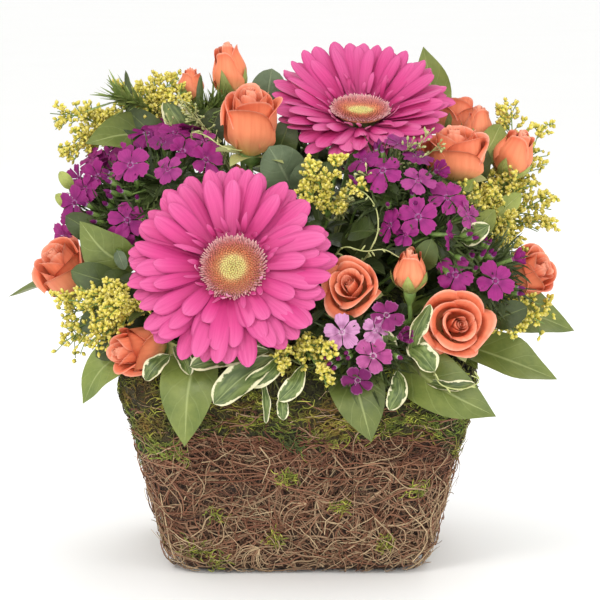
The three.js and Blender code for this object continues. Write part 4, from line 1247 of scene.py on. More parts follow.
def fanned(starts, ends, steps, bow=0.0):
    """Lines from one start, or from a start each, to the ends, bowed in their middle."""
    starts = np.broadcast_to(starts, ends.shape)[:, None]
    share = np.linspace(0, 1, steps)[:, None]
    return starts + (ends[:, None] - starts) * share + bow * np.sin(share * np.pi)


def dianthus_head(name, stalk, centre, axis, spread):
    """Fringed florets on thin stalklets over a nest of narrow bracts and broad leaves, dark with painted
    shade, with buds between them.
    """
    patch = Patch()
    dice = dice_for("dianthus " + name)
    seat = Seat(centre, axis)
    fork = seat.at([0, 0, -17])
    line = add_stalk(patch, [*stalk, fork], 1.6, count=28, sides=8, end=0.9, look=1)
    flat, radii, faces, shade = florets_of(name, seat, spread, dice)
    radii = 0.95 * radii
    count = len(flat)
    level = np.maximum(-HEAD_FALL * (flat**2).sum(1), -9) + dice.normal(0, 0.8, count)
    places = seat.at(np.column_stack([flat, level]))
    faces = unit(faces + dice.normal(0, 0.07, (count, 3)))
    add_florets(patch, dice, places, faces, radii, shade)

    # The throat's pale eye and stamens, then each floret's green tube and stalklet.
    eye = [[0, 1.0], [0.6, 0.8], [1.0, 0.1]]
    add_buds(patch, places + faces * 0.3, faces, 1.3, 1.2, shade, eye, sides=6)
    owner = np.repeat(np.arange(count), 3)
    hairs = faces[owner] * 3.2 + dice.normal(0, 0.8, (len(owner), 3))
    add_tubes(patch, fanned(places[owner], places[owner] + hairs, 4), 0.15, 0.9, sides=3)
    tube = [[0, 0.5], [0.2, 0.95], [0.75, 0.8], [1, 1]]
    add_buds(patch, places - faces * 8.5, faces, 9.2, 1.15, dice.random(count), tube, sides=7, look=1)
    stalklets = fanned(fork, places - faces * 8.3, 8, seat.out * 2.5)
    add_tubes(patch, stalklets, 0.62, dice.random(count), sides=5, look=1)

    # Unopened buds, where there is room.
    tries = 26
    turn = any_angle(dice, tries)
    reach = spread * np.sqrt(dice.uniform(0.05, 1.1, tries))
    local = polar(reach, turn, -HEAD_FALL * reach**2 - 1.0)
    tops = seat.at(local)
    crowded = (np.linalg.norm(local[:, None, :2] - flat, axis=2) < 1.05 * radii).any(1)
    tops = tops[~(inside_a_bloom(tops) | crowded)]
    buds = len(tops)
    heading = unit(tops - seat.at([0, 0, -34]))
    pod, tip = [[0, 0.5], [0.3, 1], [0.7, 0.85], [1, 0.1]], [[0, 0.9], [0.5, 0.9], [1, 0.1]]
    add_buds(patch, tops - heading * 5, heading, 8.0, 1.5, dice.random(buds), pod, sides=6, look=1)
    add_buds(patch, tops + heading * 1.5, heading, 4.2, 1.2, 0.15, tip, sides=6, depth=0.7)
    add_tubes(patch, fanned(fork, tops - heading * 4.8, 8), 0.5, dice.random(buds), sides=4, look=1)

    # A nest of broad leaves, held to the darker end of their tones as painted shade under the florets, with
    # narrow bracts standing through it.
    leaves = 16
    turn = angles_round(dice, leaves, jitter=0.3)
    reach = spread * np.where(np.arange(leaves) % 2, 1.1, 0.62) * dice.uniform(0.85, 1.1, leaves)
    ends = seat.at(polar(reach, turn, dice.uniform(-13, -8, leaves) - 0.012 * reach**2))
    share = np.linspace(0, 1, 7)
    profile = np.maximum(leaf_profile(share, 0.7, 0.55), 0.15 * (share < 0.5))
    facing = seat.out + dice.normal(0, 0.3, (leaves, 3))
    widths, chance = dice.uniform(8, 12, leaves), dice.random(leaves) * 0.4
    bend = waved(dice, leaves, cup=0.15)
    lines = fanned(fork, ends, 7, seat.out * 2.0)
    add_sheets(patch, lines, widths, facing, chance, profile, columns=5, bend=bend, look=2)
    bracts = 320
    share = np.linspace(0, 1, 5)
    turn = any_angle(dice, bracts)
    reach = (0.8 if name == "left" else 1.0) * spread * np.sqrt(dice.uniform(0.0, 1.15, bracts))
    start = seat.at(polar(reach, turn, dice.uniform(-14, -5, bracts) - HEAD_FALL * reach**2))
    heading = unit(unit(start - fork) + seat.out * 0.4 + dice.normal(0, 0.55, (bracts, 3)))[:, None]
    bow = dice.normal(0, 0.22, (bracts, 1, 3)) * share[:, None] ** 2
    length = dice.uniform(6.0, 12.0, (bracts, 1, 1))
    lines = start[:, None] + length * (heading * share[:, None] + bow)
    lines = lines[~(inside_a_bloom(lines[:, 0]) | inside_a_bloom(lines[:, -1]))]
    bracts = len(lines)
    profile = leaf_profile(0.03 + 0.97 * share, 0.25, 0.55)
    facing = seat.out + dice.normal(0, 0.5, (bracts, 3))
    widths, bend = dice.uniform(0.7, 1.5, bracts), waved(dice, bracts, fold=0.3)
    add_sheets(patch, lines, widths, facing, dice.random(bracts), profile, columns=3, bend=bend, look=3)
    add_side_leaves(
        patch, line, dice, count=10, length=(22, 36), width_share=0.2, look=2, reach=(0.3, 0.97), rise=0.9
    )
    return patch


for name, head in DIANTHUS.items():
    pale = name == "front"
    looks = [DIANTHUS_PALE if pale else DIANTHUS_PURPLE, GREEN_STEM, DARK_LEAF, BRACT]
    slot = "dianthus_pale" if pale else "dianthus_purple"
    piece(f"dianthus_head_{name}", dianthus_head(name, *head), looks, slot, f"dianthus_{name}")


# ---------------------------------------------------------------- goldenrod and fir


def add_plume(patch, dice, fork, onward, tip):
    """A main twig from the fork to the tip, with sprigs along it and buds on each sprig."""
    reach = np.linalg.norm(tip - fork)
    middle = 0.5 * (fork + tip) + onward * 0.1 * reach + 0.05 * reach * UP
    main = curve_through([fork, middle, tip], 26)
    add_tubes(patch, main, 0.62 * taper(26, 1.0, 0.35, power=1.0), dice.random(), sides=6, look=1)
    sprigs = int(11 + reach * 0.32)
    at = dice.uniform(0.14, 0.98, sprigs)
    index = (at * 25).astype(int)
    ahead = directions(main)[index]
    sideways = unit(np.cross(ahead, dice.normal(0, 1, (sprigs, 3))))
    heading = unit(ahead * 0.75 + sideways * 0.85 + 0.25 * UP)[:, None]
    length = reach * np.interp(at, [0.14, 0.4, 1.0], [0.2, 0.3, 0.12]) * dice.uniform(0.7, 1.3, sprigs)
    length = np.clip(length, 3.0, 13.0)[:, None, None]
    share = np.linspace(0, 1, 4)[:, None]
    twigs = main[index][:, None] + length * (heading * share - 0.22 * share**2 * UP)
    add_tubes(patch, twigs, 0.28, dice.random(sprigs), sides=3, look=1)
    along = 3 * dice.uniform(0.12, 1.0, (sprigs, 6))
    low = np.clip(along.astype(int), 0, 2)
    rest = (along - low)[..., None]
    row = np.arange(sprigs)[:, None]
    spots = twigs[row, low] * (1 - rest) + twigs[row, low + 1] * rest
    swing = unit(dice.normal(0, 1, spots.shape) + heading * 0.7 + 0.3 * UP)
    spots, swing = (spots + swing * 0.5).reshape(-1, 3), swing.reshape(-1, 3)
    buds = len(spots)
    lengths, girths = dice.uniform(1.8, 3.0, buds), dice.uniform(0.82, 1.32, buds)
    outline = [[0, 0.4], [0.5, 1.0], [1.0, 0.3]]
    add_buds(patch, spots, swing, lengths, girths, dice.random(buds), outline, sides=4)


def goldenrod_spray(name, stalk, tips):
    patch = Patch()
    dice = dice_for("goldenrod " + name)
    line = add_stalk(patch, stalk, 1.5, count=28, sides=8, end=0.8, look=1)
    back, fork = np.asarray(stalk[-2:], float)
    for tip in np.asarray(tips, float):
        add_plume(patch, dice, fork, unit(fork - back), tip)
    add_side_leaves(
        patch, line, dice, count=9, length=(20, 32), width_share=0.2, look=2, reach=(0.25, 1.0), rise=0.7
    )
    return patch


def ridged(_, across):
    """A bend for add_sheets: a ridge along the middle of each needle."""
    return -0.3 * np.abs(across)


def fir_twigs():
    """Feathered shoots that end in fans of long needles."""
    patch = Patch()
    dice = dice_for("fir upper_left")
    add_stalk(patch, FIR_STALK, 1.6, count=28, sides=8, end=0.8, look=1)
    back, fork = np.asarray(FIR_STALK[-2:], float)
    lines = []
    for tip, share in FIR_SHOOTS:
        middle = 0.5 * (fork + tip) + unit(fork - back) * 3
        lines.append(curve_through([fork, middle, fork + share * (tip - fork)], 30))
    lines.append(curve_through(FIR_STALK, 30)[14:])
    profile = np.array([0.6, 1.0, 0.85, 0.6, 0.1])
    steps = np.linspace(0, 1, len(profile))[:, None]
    for line in lines:
        last = len(line) - 1
        add_tubes(patch, line, 0.8 * taper(len(line), 1.0, 0.5, power=1.0), 0.5, sides=6, look=1)
        count, fan = int(np.linalg.norm(line[-1] - line[0]) * 1.8), 80
        index = (dice.uniform(0.12, 1.0, count) * last).astype(int)
        index = np.concatenate([index, last - dice.integers(0, 8, fan)])
        ahead = directions(line)[index]
        around = unit(np.cross(ahead, dice.normal(0, 1, (count + fan, 3))))
        fan_spread = dice.uniform(0.1, 1.1, count + fan)
        spread = np.where(np.arange(count + fan) < count, 0.8, fan_spread)[:, None]
        heading = unit(ahead + around * spread + 0.35 * UP)[:, None]
        length = np.concatenate([dice.uniform(4.0, 8.0, count), dice.uniform(9.0, 19.0, fan)])[:, None, None]
        bow = ahead[:, None] * 0.12 + dice.normal(0, 0.12, (count + fan, 1, 3)) - 0.1 * UP
        needles = line[index][:, None] + length * (heading * steps + bow * steps**2)
        widths = np.concatenate([dice.uniform(0.8, 1.2, count), dice.uniform(1.0, 2.0, fan)])
        chance = dice.random(count + fan)
        add_sheets(patch, needles, widths, around + ahead, chance, profile, columns=3, bend=ridged)
    return patch


for name, (stalk, tips) in GOLDENROD.items():
    looks = [GOLDENROD_BUD, GREEN_STEM, DARK_LEAF]
    spray = goldenrod_spray(name, stalk, tips)
    piece(f"goldenrod_spray_{name}", spray, looks, "goldenrod_flower", f"goldenrod_{name}")
piece("fir_twig_upper_left", fir_twigs(), [FIR_NEEDLE, TWIG], "fir_needle", "fir_upper_left")


# ---------------------------------------------------------------- broad leaves


def salal_branch(name, stalk, shade, leaves):
    patch = Patch()
    dice = dice_for("salal " + name)
    line = add_stalk(patch, stalk, 1.5, count=28, sides=8, end=0.75, look=1)
    for k, leaf in enumerate(leaves):
        width = leaf.width * leaf.breadth
        held = None if k else shade
        add_leaf(
            patch, leaf.line, width, leaf.facing, dice, rows=17, look=0, base=0.66, tip=1.08, cup=0.12,
            wave=0.07, shade=held,
        )
        add_tubes(patch, curve_through(leaf.line, 22)[:4], [[0.95, 0.85, 0.7, 0.4]], 0.5, look=1)
    add_side_leaves(
        patch, line, dice, count=7, length=(20, 30), width_share=0.52, look=0, reach=(0.3, 0.85), rise=0.4
    )
    return patch


def pittosporum_sprig(name, stalk, leaves):
    patch = Patch()
    dice = dice_for("pittosporum " + name)
    add_stalk(patch, stalk, 1.3, count=24, sides=8, end=0.8, look=1)
    fork = np.asarray(stalk[-1], float)
    share = np.linspace(0, 1, 20)
    blade = np.maximum(leaf_profile(share, 0.75, 0.55), 0.1 * (share < 0.3))
    for foot, tip, width, facing, bow in leaves:
        foot, tip = np.asarray(foot, float), np.asarray(tip, float)
        petiole = [fork, 0.5 * (fork + foot) + 2.0 * UP, foot]
        add_stalk(patch, petiole, 0.7, count=14, sides=6, end=0.5, look=1)
        points = curve_through([foot, 0.5 * (foot + tip) + bow, tip], 20)
        bend = waved(dice, 1, cup=0.25, wave=0.16, waves=2.3)
        facing = unit(facing + dice.normal(0, 0.12, 3))
        add_sheets(patch, points, width, facing, dice.random(), blade, columns=13, bend=bend, under=0.4)
    return patch


for name, branch in SALAL.items():
    made = salal_branch(name, *branch)
    piece(f"salal_branch_{name}", made, [SALAL_LEAF, GREEN_STEM], "salal_leaf", f"salal_{name}")
for name, sprig in PITTOSPORUM.items():
    looks = [PITTOSPORUM_LEAF, TWIG]
    made = pittosporum_sprig(name, *sprig)
    piece(f"pittosporum_sprig_{name}", made, looks, "pittosporum_leaf", f"pittosporum_{name}")


REAR_SPRIGS = [
    (-62, 34, 186), (-40, 48, 192), (-18, 38, 202), (10, 36, 204), (30, 50, 196), (52, 42, 194),
    (72, 30, 184), (-80, 20, 168), (84, 18, 170), (-8, 60, 176), (40, 64, 170), (-58, 56, 164),
]


def filler_greens():
    """Plain greenery on thin stems of its own that closes the gaps between the flowers."""
    patch = Patch()
    dice = dice_for("filler")
    stems = 46
    for k in range(stems):
        angle = k * GOLDEN_ANGLE
        share = math.sqrt((k + 0.5) / stems)
        across, deep = math.cos(angle) * share, math.sin(angle) * share
        top = 116 + 66 * math.sqrt(1 - 0.72 * share**2) + dice.normal(0, 5)
        middle = [44 * across, 36 * deep, 70 + 0.5 * top]
        points = [[30 * across, 30 * deep, 124], middle, [76 * across, 58 * deep, top]]
        line = add_stalk(patch, points, 0.9, count=16, sides=5, end=0.6, look=1)
        add_side_leaves(
            patch, line, dice, count=7, length=(17, 29), width_share=0.46, look=0, reach=(0.25, 1.0),
            rise=0.45,
        )

    # Low sprigs that spill from the foam over the rim, mostly at the sides and the back.
    stems = 30
    for k in range(stems):
        angle = -0.3 + (math.pi + 0.6) * (k + dice.uniform(-0.3, 0.3)) / (stems - 1)
        across, deep = math.cos(angle), math.sin(angle)
        tip = [(78 + dice.normal(0, 3)) * across, (76 + dice.normal(0, 3)) * deep, 120 + dice.normal(0, 8)]
        points = [[44 * across, 44 * deep, 122], [62 * across, 62 * deep, 132], tip]
        line = add_stalk(patch, points, 0.8, count=12, sides=5, end=0.6, look=1)
        add_side_leaves(
            patch, line, dice, count=6, length=(13, 23), width_share=0.46, look=2 * (k % 2), reach=(0.3, 1.0),
            rise=0.3,
        )

    # Taller sprigs that round out the back.
    for x, y, z in REAR_SPRIGS:
        points = [[0.4 * x, 0.5 * y, 128], [0.8 * x, 0.8 * y, 0.5 * z + 66], [x, y, z]]
        line = add_stalk(patch, points, 0.9, count=14, sides=5, end=0.6, look=1)
        add_side_leaves(
            patch, line, dice, count=7, length=(15, 25), width_share=0.44, look=2, reach=(0.4, 1.0), rise=0.6
        )
    return patch


# Each accent leaf's petiole foot, base, tip, width, facing and look.
ACCENTS = [
    ([-8, -20, 140], [-2, -40, 182], [-14, -50, 206], 23, [0.1, -1, 0.2], 0),
    ([-4, -20, 140], [4, -40, 178], [10, -52, 200], 21, [-0.1, -1, 0.3], 0),
    ([14, -20, 140], [30, -46, 172], [42, -54, 193], 22, [0.0, -1, 0.35], 1),
    ([12, -22, 136], [26, -48, 152], [38, -56, 172], 21, [0.1, -1, 0.2], 1),
    ([-14, 2, 150], [-18, -4, 216], [-13, -10, 241], 19, [0.1, -1, 0.1], 0),
    ([-50, -14, 140], [-110, -26, 183], [-116, -28, 192], 6, [0, -1, 0.2], 5),
    ([-50, -14, 140], [-110, -28, 174], [-118, -30, 181], 6, [0, -1, 0.2], 5),
    ([-50, -30, 140], [-86, -64, 158], [-82, -68, 149], 6, [0, -1, 0.2], 0),
    ([22, -20, 150], [30, -62, 183], [48, -74, 183], 16, [0.0, -0.8, 0.6], 1),
    ([16, -20, 140], [24, -62, 166], [36, -76, 168], 13, [0.1, -0.9, 0.4], 1),
    ([44, -20, 136], [76, -76, 163], [89, -84, 172], 10, [0.1, -1, 0.3], 2),
    ([44, -20, 136], [88, -56, 150], [101, -58, 156], 9, [0.1, -1, 0.2], 2),
    ([20, 6, 150], [56, -20, 190], [62, -34, 214], 17, [-0.2, -1, 0.3], 1),
    ([-36, -6, 150], [-60, -4, 196], [-85, -8, 221], 15, [0, -1, 0.3], 1),
    ([-34, -6, 150], [-50, -4, 198], [-66, -10, 226], 14, [0.1, -1, 0.2], 2),
    ([-30, -6, 150], [-40, -6, 196], [-50, -12, 222], 14, [-0.1, -1, 0.2], 1),
    ([-36, -6, 150], [-68, -10, 196], [-96, -16, 208], 14, [0, -1, 0.4], 1),
    ([-30, -6, 150], [-84, -4, 210], [-85, -6, 240], 4, [0.4, -1, 0.1], 1),
    ([-26, -6, 150], [-46, -2, 212], [-48, -6, 238], 4, [-0.4, -1, 0.1], 1),
    ([44, -20, 146], [70, -44, 162], [84, -52, 191], 14, [0.1, -1, 0.1], 5),
    ([44, -20, 146], [74, -40, 152], [94, -50, 176], 13, [0.2, -1, 0.2], 5),
    ([44, -20, 146], [64, -48, 158], [76, -56, 184], 12, [-0.2, -1, 0.2], 5),
    ([44, -20, 146], [82, -30, 160], [108, -34, 182], 12, [0.2, -1, 0.2], 5),
    ([44, -10, 146], [76, -20, 176], [92, -26, 202], 14, [0.1, -1, 0.2], 1),
    ([-44, -30, 140], [-92, -40, 160], [-112, -44, 172], 13, [-0.2, -1, 0.2], 1),
    ([-44, -30, 130], [-84, -60, 140], [-108, -64, 148], 15, [-0.2, -1, 0.2], 1),
    ([-4, -30, 140], [6, -58, 178], [14, -64, 200], 15, [0.1, -1, 0.2], 1),
    ([30, -40, 130], [56, -80, 150], [62, -88, 166], 12, [0.1, -1, 0.2], 1),
    ([50, -40, 120], [90, -70, 124], [108, -74, 132], 13, [0.2, -1, 0.3], 1),
    ([44, -20, 146], [86, -22, 192], [99, -16, 214], 13, [0.2, -1, 0.2], 5),
    ([30, -10, 150], [84, -14, 186], [90, -10, 208], 12, [-0.2, -1, 0.2], 1),
    ([-30, -6, 150], [-48, -12, 200], [-38, -14, 222], 15, [0.1, -1, 0.2], 1),
    ([-36, 0, 150], [-66, 4, 200], [-72, 4, 222], 12, [0.1, -1, 0.2], 1),
    ([-44, -30, 120], [-72, -56, 134], [-94, -64, 146], 15, [-0.1, -1, 0.2], 1),
    ([-44, -30, 120], [-70, -58, 122], [-94, -64, 134], 14, [-0.2, -1, 0.3], 1),
    ([-40, -34, 118], [-64, -60, 116], [-86, -66, 124], 13, [-0.2, -1, 0.4], 1),
    ([-6, -20, 150], [-12, -32, 196], [-4, -38, 218], 15, [0.1, -1, 0.2], 1),
    ([-44, -10, 150], [-84, -10, 190], [-105, -12, 196], 14, [-0.1, -1, 0.3], 1),
    ([-44, -10, 150], [-88, -12, 174], [-113, -16, 184], 13, [-0.1, -1, 0.2], 1),
    ([-44, -30, 124], [-80, -64, 128], [-104, -70, 122], 14, [-0.1, -1, 0.3], 1),
    ([-44, -30, 124], [-76, -66, 118], [-96, -72, 108], 13, [-0.1, -1, 0.2], 1),
    ([-40, -30, 124], [-70, -70, 138], [-84, -78, 146], 12, [0.1, -1, 0.3], 1),
]


def accent_leaves():
    """Single leaves on long petioles that fill the front's gaps."""
    patch = Patch()
    dice = dice_for("accents")
    for root, base, tip, width, facing, look in ACCENTS:
        root, base, tip = (np.asarray(point, float) for point in (root, base, tip))
        petiole = [root, 0.5 * (root + base) + 4.0 * UP, base]
        add_stalk(patch, petiole, 0.8, count=14, sides=6, end=0.8, look=3)
        bow = 0.12 * np.linalg.norm(tip - base) * unit(facing)
        line = [base, 0.5 * (base + tip) + bow, tip]
        add_leaf(
            patch, line, width, facing, dice, rows=16, look=look, base=0.55, tip=0.6, cup=0.14, wave=0.05
        )
    return patch


# Thin pale tendrils, each from its root among the stems to its curled end.
TENDRILS = [
    [[14, -30, 136], [16, -62, 152], [22, -78, 161], [31, -82, 159.5], [40, -84, 160.5], [47, -85, 157]],
    [
        [20, -30, 138], [30, -66, 152], [34, -82, 161], [37, -84, 169], [36, -80, 180], [30, -77, 187],
        [24, -76, 188],
    ],
    [[-20, -10, 150], [-48, -30, 200], [-51, -44, 212], [-44, -50, 211], [-36, -52, 206], [-27, -52, 204]],
    [
        [50, -40, 122], [62, -92, 106], [66, -103, 100], [73, -104, 98], [80, -103, 99], [84, -102, 102],
        [80, -102, 104],
    ],
]
# Short sprays of tiny pale buds: each spray's root, and its tips.
PALE_SPRAYS = [
    ([24, -20, 150], [[53, -64, 208], [60, -60, 211], [66, -58, 207], [57, -66, 201]]),
    ([-20, 4, 160], [[-56, -24, 226], [-50, -28, 220], [-62, -22, 214]]),
    ([16, -20, 150], [[26, -70, 190], [32, -72, 194], [22, -72, 184]]),
]


def tendrils():
    patch = Patch()
    dice = dice_for("tendrils")
    scale = [[0, 0.8], [0.7, 1.0], [1, 0.3]]
    for points in TENDRILS:
        line = add_stalk(patch, points, 0.55, count=48, sides=5, end=0.5, chance=0.6)
        spots, count = slice(18, None, 3), 10
        places = line[spots] + dice.normal(0, 0.3, (count, 3))
        heading = unit(directions(line)[spots] + dice.normal(0, 0.9, (count, 3)))
        add_buds(patch, places, heading, dice.uniform(1.8, 4.0, count), 0.5, dice.random(count), scale)
    bud = [[0, 0.5], [0.5, 1.0], [1, 0.3]]
    count = 34
    for root, tips in PALE_SPRAYS:
        for tip in np.asarray(tips, float):
            points = [root, 0.5 * (root + tip) + [0, -4, 6], tip]
            line = add_stalk(patch, points, 0.5, count=22, sides=5, end=0.5, chance=0.4)
            index = dice.integers(13, 22, count)
            heading = unit(dice.normal(0, 1, (count, 3)) + directions(line)[index])
            ends = line[index] + heading * dice.uniform(1.5, 5.0, count)[:, None]
            add_tubes(patch, fanned(line[index], ends, 3), 0.2, dice.random(count), sides=3)
            lengths, girths = dice.uniform(1.3, 2.4, count), dice.uniform(0.5, 0.8, count)
            add_buds(patch, ends, heading, lengths, girths, dice.random(count), bud)
    return patch


looks = [GREY_LEAF, DARK_LEAF, PITTOSPORUM_LEAF, GREEN_STEM, SEPAL, LIGHT_LEAF]
piece("accent_leaves", accent_leaves(), looks, "salal_leaf")
piece("filler_greens", filler_greens(), [DARK_LEAF, GREEN_STEM, SALAL_LEAF], "salal_leaf")
piece("tendrils", tendrils(), [PALE_STEM], "flower_stem")


# ---------------------------------------------------------------- the basket

# The way round the basket at the height of its middle, and its corners' share of its half width.
PERIMETER = 565.0
CORNER_SHARE = 0.27


def square_ring(way):
    """Points and outward directions round a rounded square of half-width 1. way counts turns from the
    front left."""
    side = 2 * (1 - CORNER_SHARE)
    quarter = side + 0.5 * np.pi * CORNER_SHARE
    distance = np.mod(way, 1.0) * 4 * quarter
    corner = np.floor(distance / quarter)
    rest = distance - corner * quarter
    angle = np.clip((rest - side) / CORNER_SHARE, 0, None)
    x = np.where(rest < side, rest - side / 2, side / 2 + CORNER_SHARE * np.sin(angle))
    y = -side / 2 - CORNER_SHARE * np.cos(angle)
    turn = corner * np.pi / 2
    cos, sin = np.cos(turn), np.sin(turn)
    out_x, out_y = np.sin(angle), -np.cos(angle)
    points = np.stack([x * cos - y * sin, x * sin + y * cos], -1)
    outward = np.stack([out_x * cos - out_y * sin, out_x * sin + out_y * cos], -1)
    return points, outward


def with_height(flat, z):
    return np.concatenate([flat, np.broadcast_to(z, flat.shape[:-1])[..., None]], -1)


def wall_half(z):
    """Half the basket's width at a height."""
    slope = BOTTOM_HALF + 2 + (TOP_HALF - BOTTOM_HALF - 2) * (z - FOOT) / (BASKET_HEIGHT - FOOT)
    low = np.clip(FOOT - z, 0, FOOT)
    return slope - 0.6 * (FOOT - np.sqrt(np.maximum(FOOT**2 - low**2, 0)))


def on_wall(way, z, lift):
    """Points on the basket's wall, lifted off it along its outward direction."""
    points, outward = square_ring(way)
    half = wall_half(np.asarray(z, float))
    return with_height(points * half[..., None] + outward * np.asarray(lift)[..., None], z)


def wandering(dice, strands, steps, step, low, high, curl, level, heading=None, heights=None):
    """Curling paths over the wall. curl is the usual turning per millimetre."""
    heading = dice.uniform(0, 2 * np.pi, strands) if heading is None else heading
    index = np.arange(steps)
    turning = np.zeros((strands, steps))
    for waves in (0.05, 0.11, 0.19):
        wave = np.sin(2 * np.pi * waves * index + any_angle(dice, strands, 1))
        turning += wave * dice.normal(0, 1, (strands, 1))
    turning = curl * (turning + dice.normal(0, 0.7, (strands, 1)))
    direction = heading[:, None] + np.cumsum(turning * step, 1)
    start = dice.uniform(0, PERIMETER, strands)[:, None]
    way = (start + np.cumsum(np.cos(direction), 1) * step) / PERIMETER
    middle, half = 0.5 * (low + high), 0.5 * (high - low)
    heights = dice.uniform(low, high, strands) if heights is None else heights
    z = heights[:, None] + np.cumsum(np.sin(direction), 1) * step
    z = middle + half * np.sin((z - middle) / half)
    weave = np.sin(2 * np.pi * dice.uniform(0.02, 0.06, (strands, 1)) * index + any_angle(dice, strands, 1))
    return on_wall(way, z, level + dice.normal(0, 0.6, (strands, 1)) + 1.3 * weave)


def bark(dice, lines, warm):
    """A colour share for each strand: redder near the rim and greyer and paler near the foot."""
    low = 1 - np.clip(lines[..., 2].mean(-1) / 80, 0, 1)
    return np.clip(dice.normal(0.44 + 0.26 * low + warm, 0.19, len(lines)), 0, 1)


def add_ribbons(patch, dice, lines, widths, chance, depth=0.0, end=0.5):
    """Flat fibres that face outwards more or less, for what lies close and fine."""
    outward = lines.mean(1) * [1.0, 1.0, 0.0]
    outward[:, 2] = 0.35 * np.linalg.norm(outward, axis=1) * (lines[..., 2].mean(1) > MOSS_LOW)
    facing = unit(outward) + dice.normal(0, 0.4, (len(lines), 3))
    add_sheets(patch, lines, widths, facing, chance, taper(lines.shape[1], 1.0, end), columns=2, depth=depth)


def add_vines(patch, dice, lines, radii, depth, warm=0.0, stray=0.0):
    """Vines of uneven thickness that stay above the table. stray is how far a point usually strays from
    its line."""
    if stray:
        lines = lines + dice.normal(0, stray, lines.shape)
    count, steps = lines.shape[:2]
    bumps = 1 + 0.16 * np.sin(np.arange(steps) * 0.9 + any_angle(dice, count, 1))
    width = dice.uniform(*radii, count)[:, None] * bumps * taper(steps, 1.0, 0.55, power=3.0)
    lines[..., 2] = np.maximum(lines[..., 2], width + 0.1)
    add_tubes(patch, lines, width, bark(dice, lines, warm), sides=3, depth=depth)


def vine_mat():
    """A rough cup just inside the strands, dark with painted shade, closed by a bottom and an inner wall."""
    patch = Patch()
    dice = dice_for("mat")
    way = np.linspace(0, 1, 168, endpoint=False)
    bottom = square_ring(way)[0] * (BOTTOM_HALF - 4)
    floor_rings = [(0.0, 1.2), (0.55, 1.0), (0.98, 1.2), (1.02, 3.5)]
    rings = [with_height(bottom * share, z) for share, z in floor_rings]
    for z in np.linspace(9, 92, 26):
        rings.append(on_wall(way, z, -1.2 + dice.normal(0, 0.5, len(way))))
    rings += [on_wall(way, 92.0, -6.3), on_wall(way, 12.0, -6.6)]
    patch.add(np.stack(rings), [0.5] * 4, closed=True)
    return patch


def vine_tangle():
    """Fine fibres that close the gaps between the vines, in two layers, the inner one painted darker as
    shade.
    """
    patch = Patch()
    dice = dice_for("tangle")
    strands = 1500
    for lift, depth in ((-0.4, 0.3), (0.9, 0.55)):
        lines = wandering(dice, strands, steps=10, step=2.9, low=2, high=94, curl=0.055, level=lift)
        lines[..., 2] = np.maximum(lines[..., 2], 0.6)
        widths = dice.uniform(0.5, 0.95, strands)
        add_ribbons(patch, dice, lines, widths, bark(dice, lines, -0.04), depth=depth, end=0.6)
    return patch


def vine_strands():
    """The vines that show, which lie level or curl about."""
    patch = Patch()
    dice = dice_for("strands")
    strands = 1400
    wild = np.where(dice.random(strands) < 0.6, 0.0, 1.0)
    heading = np.pi * (dice.random(strands) < 0.5) + dice.normal(0, 0.4 + 1.1 * wild, strands)
    lines = wandering(dice, strands, steps=9, step=2.7, low=3, high=86, curl=0.06, level=1.8, heading=heading)
    add_vines(patch, dice, lines, (0.2, 0.4), depth=0.85, warm=0.04, stray=0.16)

    # Round loops, mostly in the upper half.
    loops, steps = 30, 20
    turn = np.linspace(0, 1, steps) * dice.uniform(3.0, 6.0, (loops, 1)) + any_angle(dice, loops, 1)
    size = dice.uniform(4.0, 8, (loops, 1)) * (1 + 0.3 * np.linspace(-1, 1, steps))
    middle = dice.uniform(0, 1, (loops, 1))
    z = np.clip(dice.normal(50, 20, (loops, 1)) + size * 0.8 * np.sin(turn), 3, 84)
    lift = 2.4 + 0.8 * np.sin(turn * 0.5 + middle * 20)
    add_vines(patch, dice, on_wall(middle + size * np.cos(turn) / PERIMETER, z, lift), (0.22, 0.4), depth=0.9)

    # Fans of fine runners that spread from one knot.
    fans, runners, steps = 18, 12, 9
    fan = np.linspace(-0.9, 0.9, runners)[:, None]
    for _ in range(fans):
        middle, height = dice.uniform(0, 1), dice.uniform(10, 62)
        angle = dice.uniform(0, 6.28) + fan + 0.6 * np.linspace(0, 1, steps) ** 2
        reach = dice.uniform(8, 20, (runners, 1)) * np.linspace(0.05, 1, steps)
        z = np.clip(height + reach * np.sin(angle), 3, 84)
        lines = on_wall(middle + reach * np.cos(angle) / PERIMETER, z, 2.6)
        add_vines(patch, dice, lines, (0.18, 0.34), depth=0.95, warm=0.06, stray=0.12)

    # Fine strands that close the bottom edge.
    strands = 330
    heading = np.pi * (dice.random(strands) < 0.5) + dice.normal(0, 0.3, strands)
    heights = dice.uniform(1.0, 15.0, strands)
    lines = wandering(
        dice, strands, steps=9, step=2.6, low=0.8, high=18, curl=0.05, level=1.0, heading=heading,
        heights=heights,
    )
    add_vines(patch, dice, lines, (0.2, 0.4), depth=0.8, warm=0.02)

    # Bundles of upright runners at the corners.
    runners = 14
    climb = np.linspace(0, 1, 8)
    for corner in range(4):
        way = 0.25 * corner + 0.218 + dice.normal(0, 0.02, (runners, 1))
        z = dice.uniform(6, 34, (runners, 1)) + dice.uniform(14, 36, (runners, 1)) * climb
        way = way + dice.normal(0, 0.008, (runners, 1)) * np.sin(5 * climb)
        way = way + dice.normal(0, 0.02, (runners, 1)) * climb
        lines = on_wall(way, z, 2.4 + dice.uniform(-0.6, 0.8, (runners, 1)))
        add_vines(patch, dice, lines, (0.22, 0.42), depth=0.95, warm=0.16, stray=0.12)
    return patch


